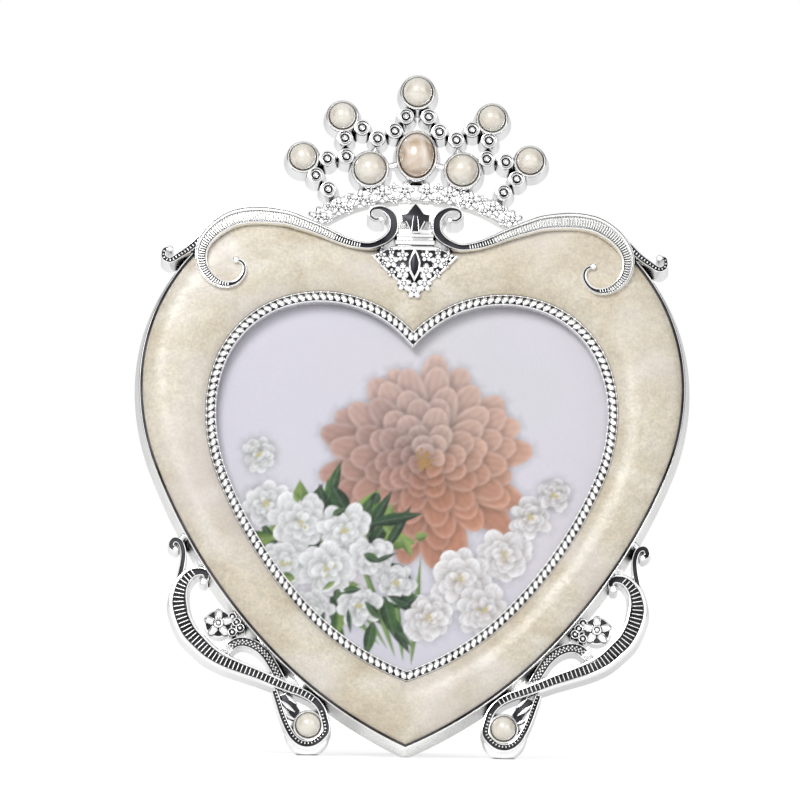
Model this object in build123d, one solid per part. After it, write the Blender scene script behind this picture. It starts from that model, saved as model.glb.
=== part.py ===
from build123d import *
from collections import namedtuple
import math
import os

# Heart shaped picture frame that leans back on an easel leg. Millimetres and degrees.
# The pieces are drawn flat, u to the right, v up along the frame from the tip of the heart and
# w forwards from the back plane of the casting, and are stood up together at the end.

# Outer rim of the heart: arcs from its widest point up to the cleft and down to the tip
rim_half_width = 68.3
rim_upper_radii = (49.9, 14.6, 1850.0)
rim_upper_angles = (55.2, 51.5)
rim_lower_radii = (58.1, 140.7, 109.2)
rim_lower_angles = (21.1, 24.2)

# Window: the line of beads around the photograph
window_half_width = 50.2
window_tip_height = 18.3
window_upper_radii = (34.8, 25.6, 29.9)
window_upper_angles = (20.9, 53.1)
window_lower_radii = (46.3, 107.9, 67.4)
window_lower_angles = (22.0, 20.4)

# Casting
casting_depth = 7.4
side_flare = 1.2
rim_width = 0.8
wall = 2.0
tray_floor_thickness = 2.4
tray_depth = 1.6
bezel_half_width = 1.3
pocket_margin = 3.5
boss_radius = 2.6
tongue_half_width = 4.4
tongue_depth = 2.5
tongue_root = 12.0

# Enamel
enamel_edge_drop = 0.4
enamel_rise = 2.8
enamel_run = 6.4
dome_steps = 5

# Beaded trim
bead_radius = 0.85
bead_pitch = 1.9
bead_strip_half_width = 0.95
bead_strip_height = 0.35

# Pocket stack, back to front, with the clearance around it
board_thickness = 2.4
card_thickness = 0.8
print_thickness = 0.2
glass_thickness = 1.0
pocket_clearance = 0.3

# Scrolls over the lobes
scroll_top = 11.2
scroll_width = 4.5
channel_edge = 1.0
channel_depth = 0.8

# Palmette under the crown
palmette_top = 11.0
palmette_neck_half_width = 4.6
palmette_band_height = 1.1
palmette_band_step = 0.5
flower_step = 0.9

# Crown
crown_depth = 4.8
setting_depth = 6.4
setting_wall = 0.9
setting_flare = 0.7
cup_depth = 1.8
top_pearl_radius = 3.6
tip_pearl_radius = 3.25
side_cabochon_radius = 3.9
oval_half_width = 4.4
oval_half_height = 5.6
bead_setting_radius = 2.05
bead_dome_radius = 1.15
bead_groove_depth = 0.7
link_width = 1.6
link_depth = 3.0
crown_band_width = 4.6
crown_flower_radius = 2.5

# Foot scrolls
foot_depth = 6.6
foot_width = 5.0
foot_pearl_radius = 3.0
foot_flower_radius = 3.8
berry_radius = 1.9
eye_band_width = 2.6
hook_width = 1.5
heel_width = 3.1
heel_depth = 4.2
lug_width = 5.0
lug_depth = 2.0

# Screws and rivets
screw_radius = 0.8
screw_head_radius = 1.6
screw_head_height = 0.9
screw_head_clearance = 0.2
screw_engagement = 3.0
rivet_radius = 0.7
rivet_head_radius = 1.4
rivet_head_height = 0.6
board_rivet_depth = 1.6

# Turn buttons
button_reach = 6.5
button_half_width = 2.3
button_thickness = 1.2
button_offset = 2.4
button_gap = 0.1

# Easel hinge and leg
hinge_height = 100.0
knuckle_radius = 1.6
pin_radius = 0.8
pin_clearance = 0.05
knuckle_gap = 0.15
moving_knuckle_length = 10.0
fixed_knuckle_length = 8.0
leaf_thickness = 0.8
leaf_height = 13.0
leaf_stand_off = 0.3
leg_thickness = 3.0
leg_top_half_width = 15.0
leg_low_half_width = 12.0
leg_foot_half_width = 3.5
leg_taper_height = 15.0
leg_corner_radius = 3.0
leg_top_gap = 0.6
tail_length = 5.5
tail_gap = 0.15

# Pose: lean of the frame, opening of the leg, and how much of the tip is ground flat
lean_angle = 12.5
leg_open_angle = 28.0
ground_cut = 0.5
flare_height = 1.4
FLARE_SHARE = 0.2
overrun = 1.0

QUARTER = 90
HALF = 180

PETALS = 5
PETAL_SHARE = 0.45
FLOWER_CENTRE_SHARE = 0.3

Heart = namedtuple("Heart", "half_width tip_height upper_radii upper_angles lower_radii lower_angles")
RIM = Heart(rim_half_width, 0, rim_upper_radii, rim_upper_angles, rim_lower_radii, rim_lower_angles)
WINDOW = Heart(window_half_width, window_tip_height, window_upper_radii, window_upper_angles,
               window_lower_radii, window_lower_angles)


def side_arcs(half_width, radii, angles, grow):
    """Tangent arcs from the widest point to the centre line: centre, radius, first and last heading."""
    centre_u = half_width - radii[0]
    rise = 0
    heading = QUARTER
    arcs = []
    for step, radius in enumerate(radii):
        if step > 0:
            shift = radii[step - 1] - radius
            centre_u += shift * math.sin(math.radians(heading))
            rise -= shift * math.cos(math.radians(heading))
        if step < len(angles):
            last = heading + angles[step]
        else:
            last = HALF + math.degrees(math.asin(centre_u / (radius + grow)))
        arcs.append((centre_u, rise, radius + grow, heading, last))
        heading = last
    return arcs


def arc_point(arc, heading):
    centre_u, rise, radius = arc[:3]
    turn = math.radians(heading)
    return centre_u + radius * math.sin(turn), rise - radius * math.cos(turn)


def heart_arcs(heart, grow):
    """Arcs of the right half, as (arc, direction of v, height of the widest point)."""
    lower = side_arcs(heart.half_width, heart.lower_radii, heart.lower_angles, 0)
    widest = heart.tip_height + arc_point(lower[-1], lower[-1][4])[1]
    upper = side_arcs(heart.half_width, heart.upper_radii, heart.upper_angles, grow)
    lower = side_arcs(heart.half_width, heart.lower_radii, heart.lower_angles, grow)
    return [(arc, 1, widest) for arc in upper] + [(arc, -1, widest) for arc in lower]


def heart_point(entry, heading):
    arc, direction, widest = entry
    u, rise = arc_point(arc, heading)
    return u, widest + direction * rise


def heart_face(heart, grow=0):
    """Heart outline as a face, moved outwards by grow."""
    edges = []
    for entry in heart_arcs(heart, grow):
        first, last = entry[0][3:]
        right = [heart_point(entry, heading) for heading in (first, (first + last) / 2, last)]
        edges.append(ThreePointArc(*right))
        edges.append(ThreePointArc(*[(-u, v) for u, v in right]))
    return make_face(edges)


def heart_top(heart):
    """Height of the top of the lobes."""
    return max(heart_point(entry, HALF)[1] for entry in heart_arcs(heart, 0) if entry[1] > 0
               and entry[0][3] <= HALF <= entry[0][4])


def points_along(heart, pitch):
    """Evenly spaced points on the right half, from the tip to the cleft, about one pitch apart."""
    upper = heart_arcs(heart, 0)[:3]
    lower = heart_arcs(heart, 0)[3:]
    stretches = []
    for entry in reversed(lower):
        first, last = entry[0][3:]
        stretches.append((entry, last, first))
    for entry in upper:
        first, last = entry[0][3:]
        stretches.append((entry, first, last))
    lengths = [abs(math.radians(b - a)) * entry[0][2] for entry, a, b in stretches]
    count = round(sum(lengths) / pitch)
    spacing = sum(lengths) / count
    points = []
    for index in range(count):
        distance = (index + 0.5) * spacing
        step = 0
        while distance > lengths[step]:
            distance -= lengths[step]
            step += 1
        entry, start, end = stretches[step]
        points.append(heart_point(entry, start + (end - start) * distance / lengths[step]))
    return points


def slab(face, back, front):
    return extrude(Pos(0, 0, back) * face, front - back, dir=(0, 0, 1))


def drafted(back_face, front_face, back, front):
    return loft([Pos(0, 0, back) * back_face, Pos(0, 0, front) * front_face], ruled=True)


def ribbon(points, widths):
    """Face of a ribbon that follows the points, with its full width at each of them."""
    left, right = [], []
    for index, point in enumerate(points):
        before = Vector(*points[max(index - 1, 0)])
        after = Vector(*points[min(index + 1, len(points) - 1)])
        along = (after - before).normalized()
        side = Vector(-along.Y, along.X) * (widths[index] / 2)
        left.append(Vector(*point) + side)
        right.append(Vector(*point) - side)
    return make_face([Spline(*left), Spline(*right), Line(left[0], right[0]), Line(left[-1], right[-1])])


def flared_ribbon(points, widths, front):
    """Upright ribbon on a wider foot at its back."""
    wide = [width * (1 + FLARE_SHARE) for width in widths]
    return [slab(ribbon(points, widths), 0, front), slab(ribbon(points, wide), 0, flare_height)]


def disc(place, radius, back, front):
    return slab(Pos(*place) * Circle(radius), back, front)


def frustum(place, back_radius, front_radius, back, front):
    shape = Cone(back_radius, front_radius, front - back, align=(Align.CENTER, Align.CENTER, Align.MIN))
    return Pos(*place, back) * shape


def dome(place, radius, seat):
    """Half ball on a flat seat."""
    half_ball = Sphere(radius, arc_size1=0, align=(Align.CENTER, Align.CENTER, Align.MIN))
    return Pos(*place, seat) * half_ball


def flower(place, radius, back, front):
    """Five round petals around a raised centre."""
    petal_radius = radius * PETAL_SHARE
    petals = PolarLocations(radius - petal_radius, PETALS, start_angle=QUARTER) * Circle(petal_radius)
    face = Circle(radius - petal_radius) + petals
    return slab(Pos(*place) * face, back, front) + dome(place, radius * FLOWER_CENTRE_SHARE, front)


def mirrored(part):
    return mirror(part, about=Plane.YZ)


heart_height = heart_top(RIM)


def at(*shares):
    """Place on the heart, as shares of its half width and of its height."""
    return shares[0] * rim_half_width, shares[1] * heart_height


# Levels
pocket_depth = board_thickness + card_thickness + print_thickness + glass_thickness
tray_floor = casting_depth - tray_depth
hollow_depth = tray_floor - tray_floor_thickness
enamel_edge = casting_depth - enamel_edge_drop


# Scroll: from the curl beside the crown, over the lobe, to the curl on the enamel
SCROLL_SHARES = (
    (0.126, 0.989), (0.148, 0.987), (0.167, 0.995), (0.160, 1.006), (0.130, 1.009), (0.101, 1.002),
    (0.082, 0.988), (0.082, 0.968), (0.100, 0.954), (0.129, 0.944), (0.164, 0.938), (0.202, 0.939),
    (0.256, 0.946), (0.348, 0.966), (0.423, 0.980), (0.477, 0.988), (0.562, 0.992), (0.624, 0.990),
    (0.679, 0.982), (0.734, 0.963), (0.769, 0.941), (0.783, 0.919), (0.777, 0.894), (0.755, 0.876),
    (0.722, 0.863), (0.682, 0.859), (0.646, 0.866), (0.624, 0.883), (0.628, 0.899), (0.654, 0.907))
SCROLL_WIDTH_SHARES = (
    0.18, 0.22, 0.26, 0.30, 0.33, 0.34, 0.35, 0.36, 0.36, 0.37, 0.38, 0.42, 0.52, 0.68, 0.82, 0.90,
    1.00, 1.00, 0.98, 0.90, 0.78, 0.70, 0.62, 0.55, 0.47, 0.40, 0.33, 0.28, 0.23, 0.18)
CHANNEL_FIRST = 13
CHANNEL_LAST = 21
TAIL_SHARES = (
    (0.730, 0.972), (0.762, 0.958), (0.794, 0.942), (0.826, 0.927), (0.862, 0.914), (0.896, 0.904),
    (0.919, 0.910), (0.917, 0.923), (0.897, 0.926))
TAIL_WIDTH_SHARES = (0.55, 0.50, 0.46, 0.42, 0.38, 0.34, 0.30, 0.26, 0.22)


def make_scroll():
    """Right hand scroll, before the heart is taken out of it."""
    points = [at(*share) for share in SCROLL_SHARES]
    widths = [share * scroll_width for share in SCROLL_WIDTH_SHARES]
    pieces = flared_ribbon(points, widths, scroll_top)
    tail_points = [at(*share) for share in TAIL_SHARES]
    tail_widths = [share * scroll_width for share in TAIL_WIDTH_SHARES]
    pieces += flared_ribbon(tail_points, tail_widths, scroll_top - channel_depth)
    inner = slice(CHANNEL_FIRST, CHANNEL_LAST)
    channel_widths = [width - channel_edge for width in widths[inner]]
    channel = slab(ribbon(points[inner], channel_widths), scroll_top - channel_depth, scroll_top + overrun)
    return Part() + pieces - channel


# Palmette: a neck under the crown and a pointed bunch of flowers in the cleft
PALMETTE_SHARES = ((0.086, 0.938), (0.154, 0.921), (0.100, 0.892), (0.040, 0.866), (0, 0.846))
LEAF_SHARES = ((0.020, 0.970), (0.040, 1.001), (0.016, 1.004), (0, 1.018))
PALMETTE_FLOWER_SHARES = ((0.042, 0.896), (0.077, 0.914))
PALMETTE_FLOWER_SIZE_SHARE = 0.46
PALMETTE_TIP_SHARES = (0, 0.868)
NECK_BAND_SHARES = (0.945, 0.960)
NECK_SHARES = (0.930, 0.972)


def both_sides(shares):
    """Closed outline from points on the right, mirrored to the left."""
    right = [at(*share) for share in shares]
    left = [(-u, v) for u, v in reversed(right) if u > 0]
    return make_face(Polyline(*right, *left, close=True))


def make_palmette():
    low, high = NECK_SHARES[0] * heart_height, NECK_SHARES[1] * heart_height
    neck = Pos(0, (low + high) / 2) * Rectangle(2 * palmette_neck_half_width, high - low)
    field_top = palmette_top - flower_step
    radius = palmette_neck_half_width * PALMETTE_FLOWER_SIZE_SHARE
    pieces = [slab(both_sides(PALMETTE_SHARES), tongue_depth, field_top),
              slab(neck, tongue_depth, field_top),
              slab(both_sides(LEAF_SHARES), tongue_depth, palmette_top),
              flower(at(*PALMETTE_TIP_SHARES), radius * 1.2, tongue_depth, palmette_top)]
    for share in NECK_BAND_SHARES:
        band = Rectangle(2 * palmette_neck_half_width, palmette_band_height)
        pieces.append(slab(Pos(0, share * heart_height) * band, field_top, field_top + palmette_band_step))
    for share in PALMETTE_FLOWER_SHARES:
        u, v = at(*share)
        for side in (-1, 1):
            pieces.append(flower((side * u, v), radius, field_top - flower_step, palmette_top))
    return Part() + pieces


# Crown: settings in chains, joined by links, over a band of flowers
TOP_PEARL_SHARES = (0, 1.238)
OVAL_SHARES = (0, 1.118)
TIP_PEARL_SHARES = ((0.275, 1.190), (0.417, 1.111))
SIDE_CABOCHON_SHARES = (0.170, 1.091)
BEAD_SHARES = (
    (0.042, 1.192), (0.082, 1.164), (0.145, 1.149), (0.202, 1.169), (0.265, 1.149), (0.258, 1.114),
    (0.328, 1.109), (0.369, 1.077), (0.322, 1.051))
BAND_SHARES = ((-0.357, 1.000), (-0.204, 1.037), (0, 1.050), (0.204, 1.037), (0.357, 1.000))
BAND_FLOWER_SHARES = ((0.040, 1.051), (0.124, 1.046), (0.204, 1.036), (0.283, 1.021), (0.357, 1.001))
LINKS = (
    (TOP_PEARL_SHARES, BEAD_SHARES[0]), (BEAD_SHARES[0], BEAD_SHARES[1]), (BEAD_SHARES[1], OVAL_SHARES),
    (BEAD_SHARES[1], BEAD_SHARES[2]), (BEAD_SHARES[2], BEAD_SHARES[3]), (BEAD_SHARES[3], TIP_PEARL_SHARES[0]),
    (TIP_PEARL_SHARES[0], BEAD_SHARES[4]), (BEAD_SHARES[4], BEAD_SHARES[5]),
    (BEAD_SHARES[2], SIDE_CABOCHON_SHARES), (BEAD_SHARES[5], SIDE_CABOCHON_SHARES),
    (BEAD_SHARES[5], BEAD_SHARES[6]), (BEAD_SHARES[6], TIP_PEARL_SHARES[1]),
    (TIP_PEARL_SHARES[1], BEAD_SHARES[7]), (BEAD_SHARES[7], BEAD_SHARES[8]),
    (BEAD_SHARES[8], BAND_FLOWER_SHARES[3]),
    (SIDE_CABOCHON_SHARES, OVAL_SHARES), (SIDE_CABOCHON_SHARES, BAND_FLOWER_SHARES[2]),
    (OVAL_SHARES, BAND_FLOWER_SHARES[0]))


def both(place):
    """A place and its mirror image, or the place alone on the centre line."""
    u, v = place
    return [(u, v), (-u, v)] if u > 0 else [(u, v)]


def round_settings():
    """Every round pearl setting of the crown as (place, pearl radius)."""
    places = [(at(*TOP_PEARL_SHARES), top_pearl_radius)]
    for share in TIP_PEARL_SHARES:
        places += [(place, tip_pearl_radius) for place in both(at(*share))]
    places += [(place, side_cabochon_radius) for place in both(at(*SIDE_CABOCHON_SHARES))]
    return places


def link(first, second):
    """Face of the bar between the centres of two settings."""
    first, second = Vector(*first), Vector(*second)
    along = second - first
    angle = math.degrees(math.atan2(along.Y, along.X))
    middle = (first + second) / 2
    return Pos(middle.X, middle.Y) * Rot(Z=angle) * Rectangle(along.length, link_width)


def make_crown():
    pieces, cups = [], []
    cup_floor = setting_depth - cup_depth
    for place, radius in round_settings():
        front_radius = radius + setting_wall
        pieces.append(frustum(place, front_radius + setting_flare, front_radius, 0, setting_depth))
        cups.append(disc(place, radius, cup_floor, setting_depth + overrun))
    oval = at(*OVAL_SHARES)
    oval_cup, oval_front, oval_back = [
        Pos(*oval) * Ellipse(oval_half_width + grow, oval_half_height + grow)
        for grow in (0, setting_wall, setting_wall + setting_flare)]
    pieces.append(drafted(oval_back, oval_front, 0, setting_depth))
    cups.append(slab(oval_cup, cup_floor, setting_depth + overrun))
    domes = []
    for share in BEAD_SHARES:
        for place in both(at(*share)):
            radius = bead_setting_radius
            pieces.append(frustum(place, radius + setting_flare, radius, 0, setting_depth))
            groove = Pos(*place) * (Circle(radius - link_width / 4) - Circle(bead_dome_radius))
            cups.append(slab(groove, setting_depth - bead_groove_depth, setting_depth + overrun))
            domes.append(dome(place, bead_dome_radius, setting_depth))
    bars = []
    for first, second in LINKS:
        (u1, v1), (u2, v2) = at(*first), at(*second)
        bars += [link((side * u1, v1), (side * u2, v2)) for side in (-1, 1)]
    pieces.append(slab(Sketch() + bars, 0, link_depth))
    band = [at(*share) for share in BAND_SHARES]
    pieces.append(slab(ribbon(band, [crown_band_width] * len(band)), 0, crown_depth))
    bloom = flower((0, 0), crown_flower_radius, crown_depth - flower_step, crown_depth + flower_step)
    for share in BAND_FLOWER_SHARES:
        domes += [Pos(*place) * bloom for place in both(at(*share))]
    return Part() + pieces + domes - cups


def pearl(place, radius, seat):
    """Pearl ground flat at the back, with its equator at the edge of its cup."""
    ball = Pos(*place, seat + cup_depth) * Sphere(radius)
    return ball & disc(place, radius + overrun, seat, seat + cup_depth + radius + overrun)


def make_oval_cabochon():
    place = at(*OVAL_SHARES)
    seat = setting_depth - cup_depth
    width = Ellipse(oval_half_width, oval_half_height)
    body = slab(Pos(*place) * width, seat, setting_depth)
    layers = [Pos(*place, setting_depth) * width]
    for step in (1, 2, 3):
        angle = math.radians(QUARTER * step / 4)
        height = oval_half_width * math.sin(angle)
        layer = Ellipse(oval_half_width * math.cos(angle), oval_half_height * math.cos(angle))
        layers.append(Pos(*place, setting_depth + height) * layer)
    return body + loft(layers, ruled=True)


# Foot scroll: an S shaped ribbon with a pearl in its lower curl, a flower and a pierced leaf
FOOT_SHARES = (
    (0.748, 0.307), (0.738, 0.316), (0.753, 0.325), (0.789, 0.323), (0.821, 0.307), (0.836, 0.288),
    (0.839, 0.266), (0.827, 0.240), (0.801, 0.213), (0.767, 0.194), (0.722, 0.173), (0.671, 0.158),
    (0.611, 0.146), (0.545, 0.134), (0.482, 0.121), (0.426, 0.110), (0.379, 0.101), (0.341, 0.090),
    (0.313, 0.074), (0.295, 0.055))
FOOT_WIDTH_SHARES = (
    0.25, 0.32, 0.42, 0.58, 0.75, 0.88, 1.00, 1.00, 1.00, 0.98, 0.92, 0.84, 0.76, 0.68, 0.60, 0.52,
    0.48, 0.46, 0.45, 0.44)
FOOT_CURL_SHARES = (
    (0.305, 0.068), (0.290, 0.036), (0.306, 0.020), (0.338, 0.008), (0.375, 0.007), (0.408, 0.018),
    (0.432, 0.037), (0.451, 0.059), (0.466, 0.081), (0.482, 0.105))
FOOT_CURL_WIDTH_SHARES = (0.42, 0.43, 0.42, 0.41, 0.40, 0.38, 0.36, 0.34, 0.32, 0.30)
FOOT_CHANNEL_FIRST = 4
FOOT_CHANNEL_LAST = 17
HOOK_SHARES = (
    (0.854, 0.366), (0.870, 0.372), (0.861, 0.383), (0.838, 0.380), (0.825, 0.362), (0.827, 0.340),
    (0.838, 0.312))
EYE_SHARES = (
    (0.672, 0.172), (0.646, 0.186), (0.622, 0.194), (0.590, 0.195), (0.553, 0.188), (0.517, 0.173),
    (0.490, 0.153), (0.462, 0.128))
FOOT_FLOWER_SHARES = (0.691, 0.230)
FOOT_LEAF_SHARES = ((0.672, 0.194), (0.672, 0.162), (0.640, 0.180))
FOOT_BERRY_SHARES = ((0.625, 0.233), (0.640, 0.214))
FOOT_PEARL_SHARES = (0.356, 0.041)
FOOT_FILL_SHARES = ((0.432, 0.068), (0.400, 0.045), (0.385, 0.068), (0.432, 0.104), (0.462, 0.098))
HEEL_SHARES = (
    (0.290, 0.036), (0.306, 0.020), (0.338, 0.008), (0.375, 0.007), (0.408, 0.018), (0.432, 0.037))
HEEL_WIDTH_SHARES = (0.55, 0.85, 1.00, 1.00, 0.85, 0.55)
LUG_SHARES = (((0.405, 0.105), (0.385, 0.165)), ((0.778, 0.320), (0.690, 0.375)))
HOOK_LINK_SHARES = ((0.838, 0.385), (0.815, 0.398))


def lug(ends):
    """Flat lug that runs from a foot scroll into the hollow of the casting."""
    points = [at(*share) for share in ends]
    face = ribbon([points[0], points[1]], [lug_width, lug_width]) + Pos(*points[1]) * Circle(lug_width / 2)
    return slab(face, hollow_depth - lug_depth, hollow_depth)


def make_foot():
    """Right hand foot scroll, before the heart is taken out of it."""
    points = [at(*share) for share in FOOT_SHARES]
    widths = [share * foot_width for share in FOOT_WIDTH_SHARES]
    curl_points = [at(*share) for share in FOOT_CURL_SHARES]
    curl_widths = [share * foot_width for share in FOOT_CURL_WIDTH_SHARES]
    pearl_place = at(*FOOT_PEARL_SHARES)
    setting = foot_pearl_radius + setting_wall
    top = foot_depth - channel_depth
    hook_points = [at(*share) for share in HOOK_SHARES]
    eye_points = [at(*share) for share in EYE_SHARES]
    leaf = make_face(Polyline(*[at(*share) for share in FOOT_LEAF_SHARES], close=True))
    fill = make_face(Polyline(*[at(*share) for share in FOOT_FILL_SHARES], close=True))
    hook_link = [at(*share) for share in HOOK_LINK_SHARES]
    flower_place = at(*FOOT_FLOWER_SHARES)
    pieces = [
        *flared_ribbon(points, widths, foot_depth),
        *flared_ribbon(curl_points, curl_widths, foot_depth),
        *flared_ribbon(hook_points, [hook_width] * len(hook_points), foot_depth),
        *flared_ribbon(eye_points, [eye_band_width] * len(eye_points), top),
        frustum(pearl_place, setting + setting_flare, setting, 0, foot_depth),
        slab(ribbon(hook_link, [hook_width] * 2), 0, top),
        slab(leaf, 0, top),
        slab(fill, 0, top),
        disc(flower_place, foot_flower_radius, 0, top - flower_step),
        flower(flower_place, foot_flower_radius, top - flower_step, foot_depth)]
    for share in FOOT_BERRY_SHARES:
        place = at(*share)
        pieces.append(disc(place, berry_radius, 0, top))
        pieces.append(dome(place, berry_radius / 2, top))
    inner = slice(FOOT_CHANNEL_FIRST, FOOT_CHANNEL_LAST)
    channel_widths = [width - channel_edge for width in widths[inner]]
    channel = slab(ribbon(points[inner], channel_widths), foot_depth - channel_depth, foot_depth + overrun)
    cup = disc(pearl_place, foot_pearl_radius, foot_depth - cup_depth, foot_depth + overrun)
    return Part() + pieces - channel - cup


def make_heel():
    """Crescent under the lower curl, which reaches the floor."""
    points = [at(*share) for share in HEEL_SHARES]
    return slab(ribbon(points, [share * heel_width for share in HEEL_WIDTH_SHARES]), 0, heel_depth)


# Screws in the back of the casting, as shares of the heart
SCROLL_SCREW_SHARES = ((0.715, 0.864), (0.352, 0.956))
PALMETTE_SCREW_SHARES = (0, 0.892)
CROWN_SCREW_SHARES = (0.036, 1.045)


def screw(place, seat, depth):
    """Screw that enters forwards from its seat, with its head behind the seat."""
    head = disc(place, screw_head_radius, seat - screw_head_height, seat)
    return head + disc(place, screw_radius, seat, seat + depth)


def counterbore(place, seat):
    return disc(place, screw_head_radius + screw_head_clearance, -overrun, seat)


# Turn buttons: one on each side above, one on each side below
def button_pivots():
    """Pivots beside the pocket, each with the direction of its button, towards the window."""
    entries = heart_arcs(WINDOW, pocket_margin + button_offset)
    pivots = []
    for entry in (entries[1], entries[4]):
        first, last = entry[0][3:]
        heading = (first + last) / 2
        u, v = heart_point(entry, heading)
        inner_u, inner_v = heart_point((entry[0][:2] + (0,) + entry[0][3:], entry[1], entry[2]), heading)
        angle = math.degrees(math.atan2(inner_v - v, inner_u - u))
        pivots.append((u, v, angle))
        pivots.append((-u, v, HALF - angle))
    return pivots


def make_button(pivot):
    u, v, angle = pivot
    arm = Pos(button_reach / 2, 0) * Rectangle(button_reach, 2 * button_half_width)
    tip = Pos(button_reach, 0) * Circle(button_half_width)
    face = arm + tip + Circle(button_half_width) - Circle(screw_radius + pin_clearance)
    placed = Pos(u, v) * Rot(Z=angle) * face
    return slab(placed, -button_gap - button_thickness, -button_gap)


button_seat = -2 * button_gap - button_thickness


# Easel hinge, in the plane of the frame: the leaves lie flat when the leg is closed
hinge_w = -leaf_stand_off - knuckle_radius
leaf_half_width = moving_knuckle_length / 2 + knuckle_gap + fixed_knuckle_length
fixed_knuckle_middle = leaf_half_width - fixed_knuckle_length / 2
HINGE = Pos(0, hinge_height, hinge_w)
RIVET_SHARES = ((0.72, 0.36), (0.72, 0.78))


def bar_along_u(middle, radius, length):
    return HINGE * Pos(middle, 0, 0) * Rot(Y=QUARTER) * Cylinder(radius, length)


def plate(half_width, low, high, back, front):
    middle = ((low + high) / 2, (back + front) / 2)
    return Pos(0, middle[0], middle[1]) * Box(2 * half_width, high - low, front - back)


def rivet_places(direction):
    """Rivets of one leaf; direction is 1 above the pin and -1 below it."""
    return [(side * leaf_half_width * u, hinge_height + direction * leaf_height * v)
            for u, v in RIVET_SHARES for side in (-1, 1)]


def make_fixed_leaf():
    leaf = plate(leaf_half_width, hinge_height, hinge_height + leaf_height, -leaf_thickness, 0)
    slot = plate(moving_knuckle_length / 2 + knuckle_gap, hinge_height - overrun,
                 hinge_height + knuckle_radius + leaf_stand_off, -leaf_thickness - overrun, overrun)
    leaf -= slot
    for side in (-1, 1):
        leaf += bar_along_u(side * fixed_knuckle_middle, knuckle_radius, fixed_knuckle_length)
    leaf -= bar_along_u(0, pin_radius, 2 * leaf_half_width + overrun)
    return leaf - [disc(place, rivet_radius, -leaf_thickness - overrun, overrun) for place in rivet_places(1)]


def opened(part):
    """Turn a piece of the closed leg about the hinge pin to where the leg stands open."""
    return HINGE * Rot(X=leg_open_angle) * HINGE.inverse() * part


def make_moving_leaf():
    front = -leaf_stand_off
    back = front - leaf_thickness
    shoulder = hinge_height - knuckle_radius - leaf_stand_off
    leaf = plate(leaf_half_width, hinge_height - leaf_height, shoulder, back, front)
    leaf += plate(moving_knuckle_length / 2, shoulder - overrun, hinge_height, back, front)
    leaf += bar_along_u(0, knuckle_radius, moving_knuckle_length)
    leaf -= [disc(place, rivet_radius, back - overrun, overrun) for place in rivet_places(-1)]
    tail_front = -leaf_thickness - tail_gap
    tail = plate(moving_knuckle_length / 2, hinge_height, hinge_height + tail_length,
                 tail_front - leaf_thickness, tail_front)
    return opened(leaf) + tail - bar_along_u(0, pin_radius + pin_clearance, 2 * leaf_half_width)


def make_leg():
    """Leg board, long enough to be cut off by the floor."""
    top = hinge_height - knuckle_radius - leaf_stand_off - leg_top_gap
    front = -leaf_stand_off - leaf_thickness
    outline = [(leg_top_half_width, top), (leg_low_half_width, leg_taper_height),
               (leg_foot_half_width, 0), (leg_foot_half_width, -leg_taper_height)]
    left = [(-u, v) for u, v in reversed(outline)]
    face = make_face(Polyline(*outline, *left, close=True))
    corners = face.vertices().filter_by(lambda corner: corner.Y > 0)
    face = fillet(corners, leg_corner_radius)
    back = front - leg_thickness
    board = slab(face, back, front)
    board -= [disc(place, rivet_radius, back - overrun, overrun) for place in rivet_places(-1)]
    return opened(board)


def make_leg_rivets():
    front = -leaf_stand_off
    back = front - leaf_thickness - leg_thickness
    rivets = []
    for place in rivet_places(-1):
        head = disc(place, rivet_head_radius, back - rivet_head_height, back)
        rivets.append(opened(head + disc(place, rivet_radius, back, front)))
    return rivets


def make_board_rivets():
    rivets = []
    for place in rivet_places(1):
        head = disc(place, rivet_head_radius, -leaf_thickness - rivet_head_height, -leaf_thickness)
        rivets.append(head + disc(place, rivet_radius, -leaf_thickness, board_rivet_depth))
    return rivets


def cleft_height(heart):
    entry = heart_arcs(heart, 0)[2]
    return heart_point(entry, entry[0][4])[1]


def make_blank():
    """The whole heart, wider at the back by the flare of its sides."""
    return drafted(heart_face(RIM, side_flare), heart_face(RIM), 0, casting_depth)


# Casting: tray for the enamel, pocket for the photograph, hollow back, and a tongue behind the crown
def make_casting(pivots):
    tray = heart_face(RIM, -rim_width) - heart_face(WINDOW, bezel_half_width)
    hollow = heart_face(RIM, -wall) - heart_face(WINDOW, pocket_margin + wall)
    bosses = [disc((u, v), boss_radius, 0, tray_floor) for u, v, _ in pivots]
    tongue_top = at(*BAND_SHARES[2])[1] + crown_band_width / 4
    tongue = plate(tongue_half_width, cleft_height(RIM) - tongue_root, tongue_top, 0, tongue_depth)
    casting = make_blank() - slab(tray, tray_floor, casting_depth + overrun)
    casting = casting - slab(hollow, -overrun, hollow_depth) + bosses + tongue
    casting -= slab(heart_face(WINDOW, -bezel_half_width), -overrun, casting_depth + overrun)
    return casting - slab(heart_face(WINDOW, pocket_margin), -overrun, pocket_depth)


def make_enamel():
    """Domed band between the rim and the bezel of the window."""
    levels = [(tray_floor, 0)]
    for step in range(dome_steps):
        angle = math.radians(QUARTER * step / dome_steps)
        levels.append((enamel_edge + enamel_rise * math.sin(angle), enamel_run * (1 - math.cos(angle))))
    levels.append((enamel_edge + enamel_rise, enamel_run))
    outside = [Pos(0, 0, w) * heart_face(RIM, -rim_width - inset) for w, inset in levels]
    inside = [Pos(0, 0, w) * heart_face(WINDOW, bezel_half_width + inset) for w, inset in levels]
    return loft(outside, ruled=True) - loft(inside, ruled=True)


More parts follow.
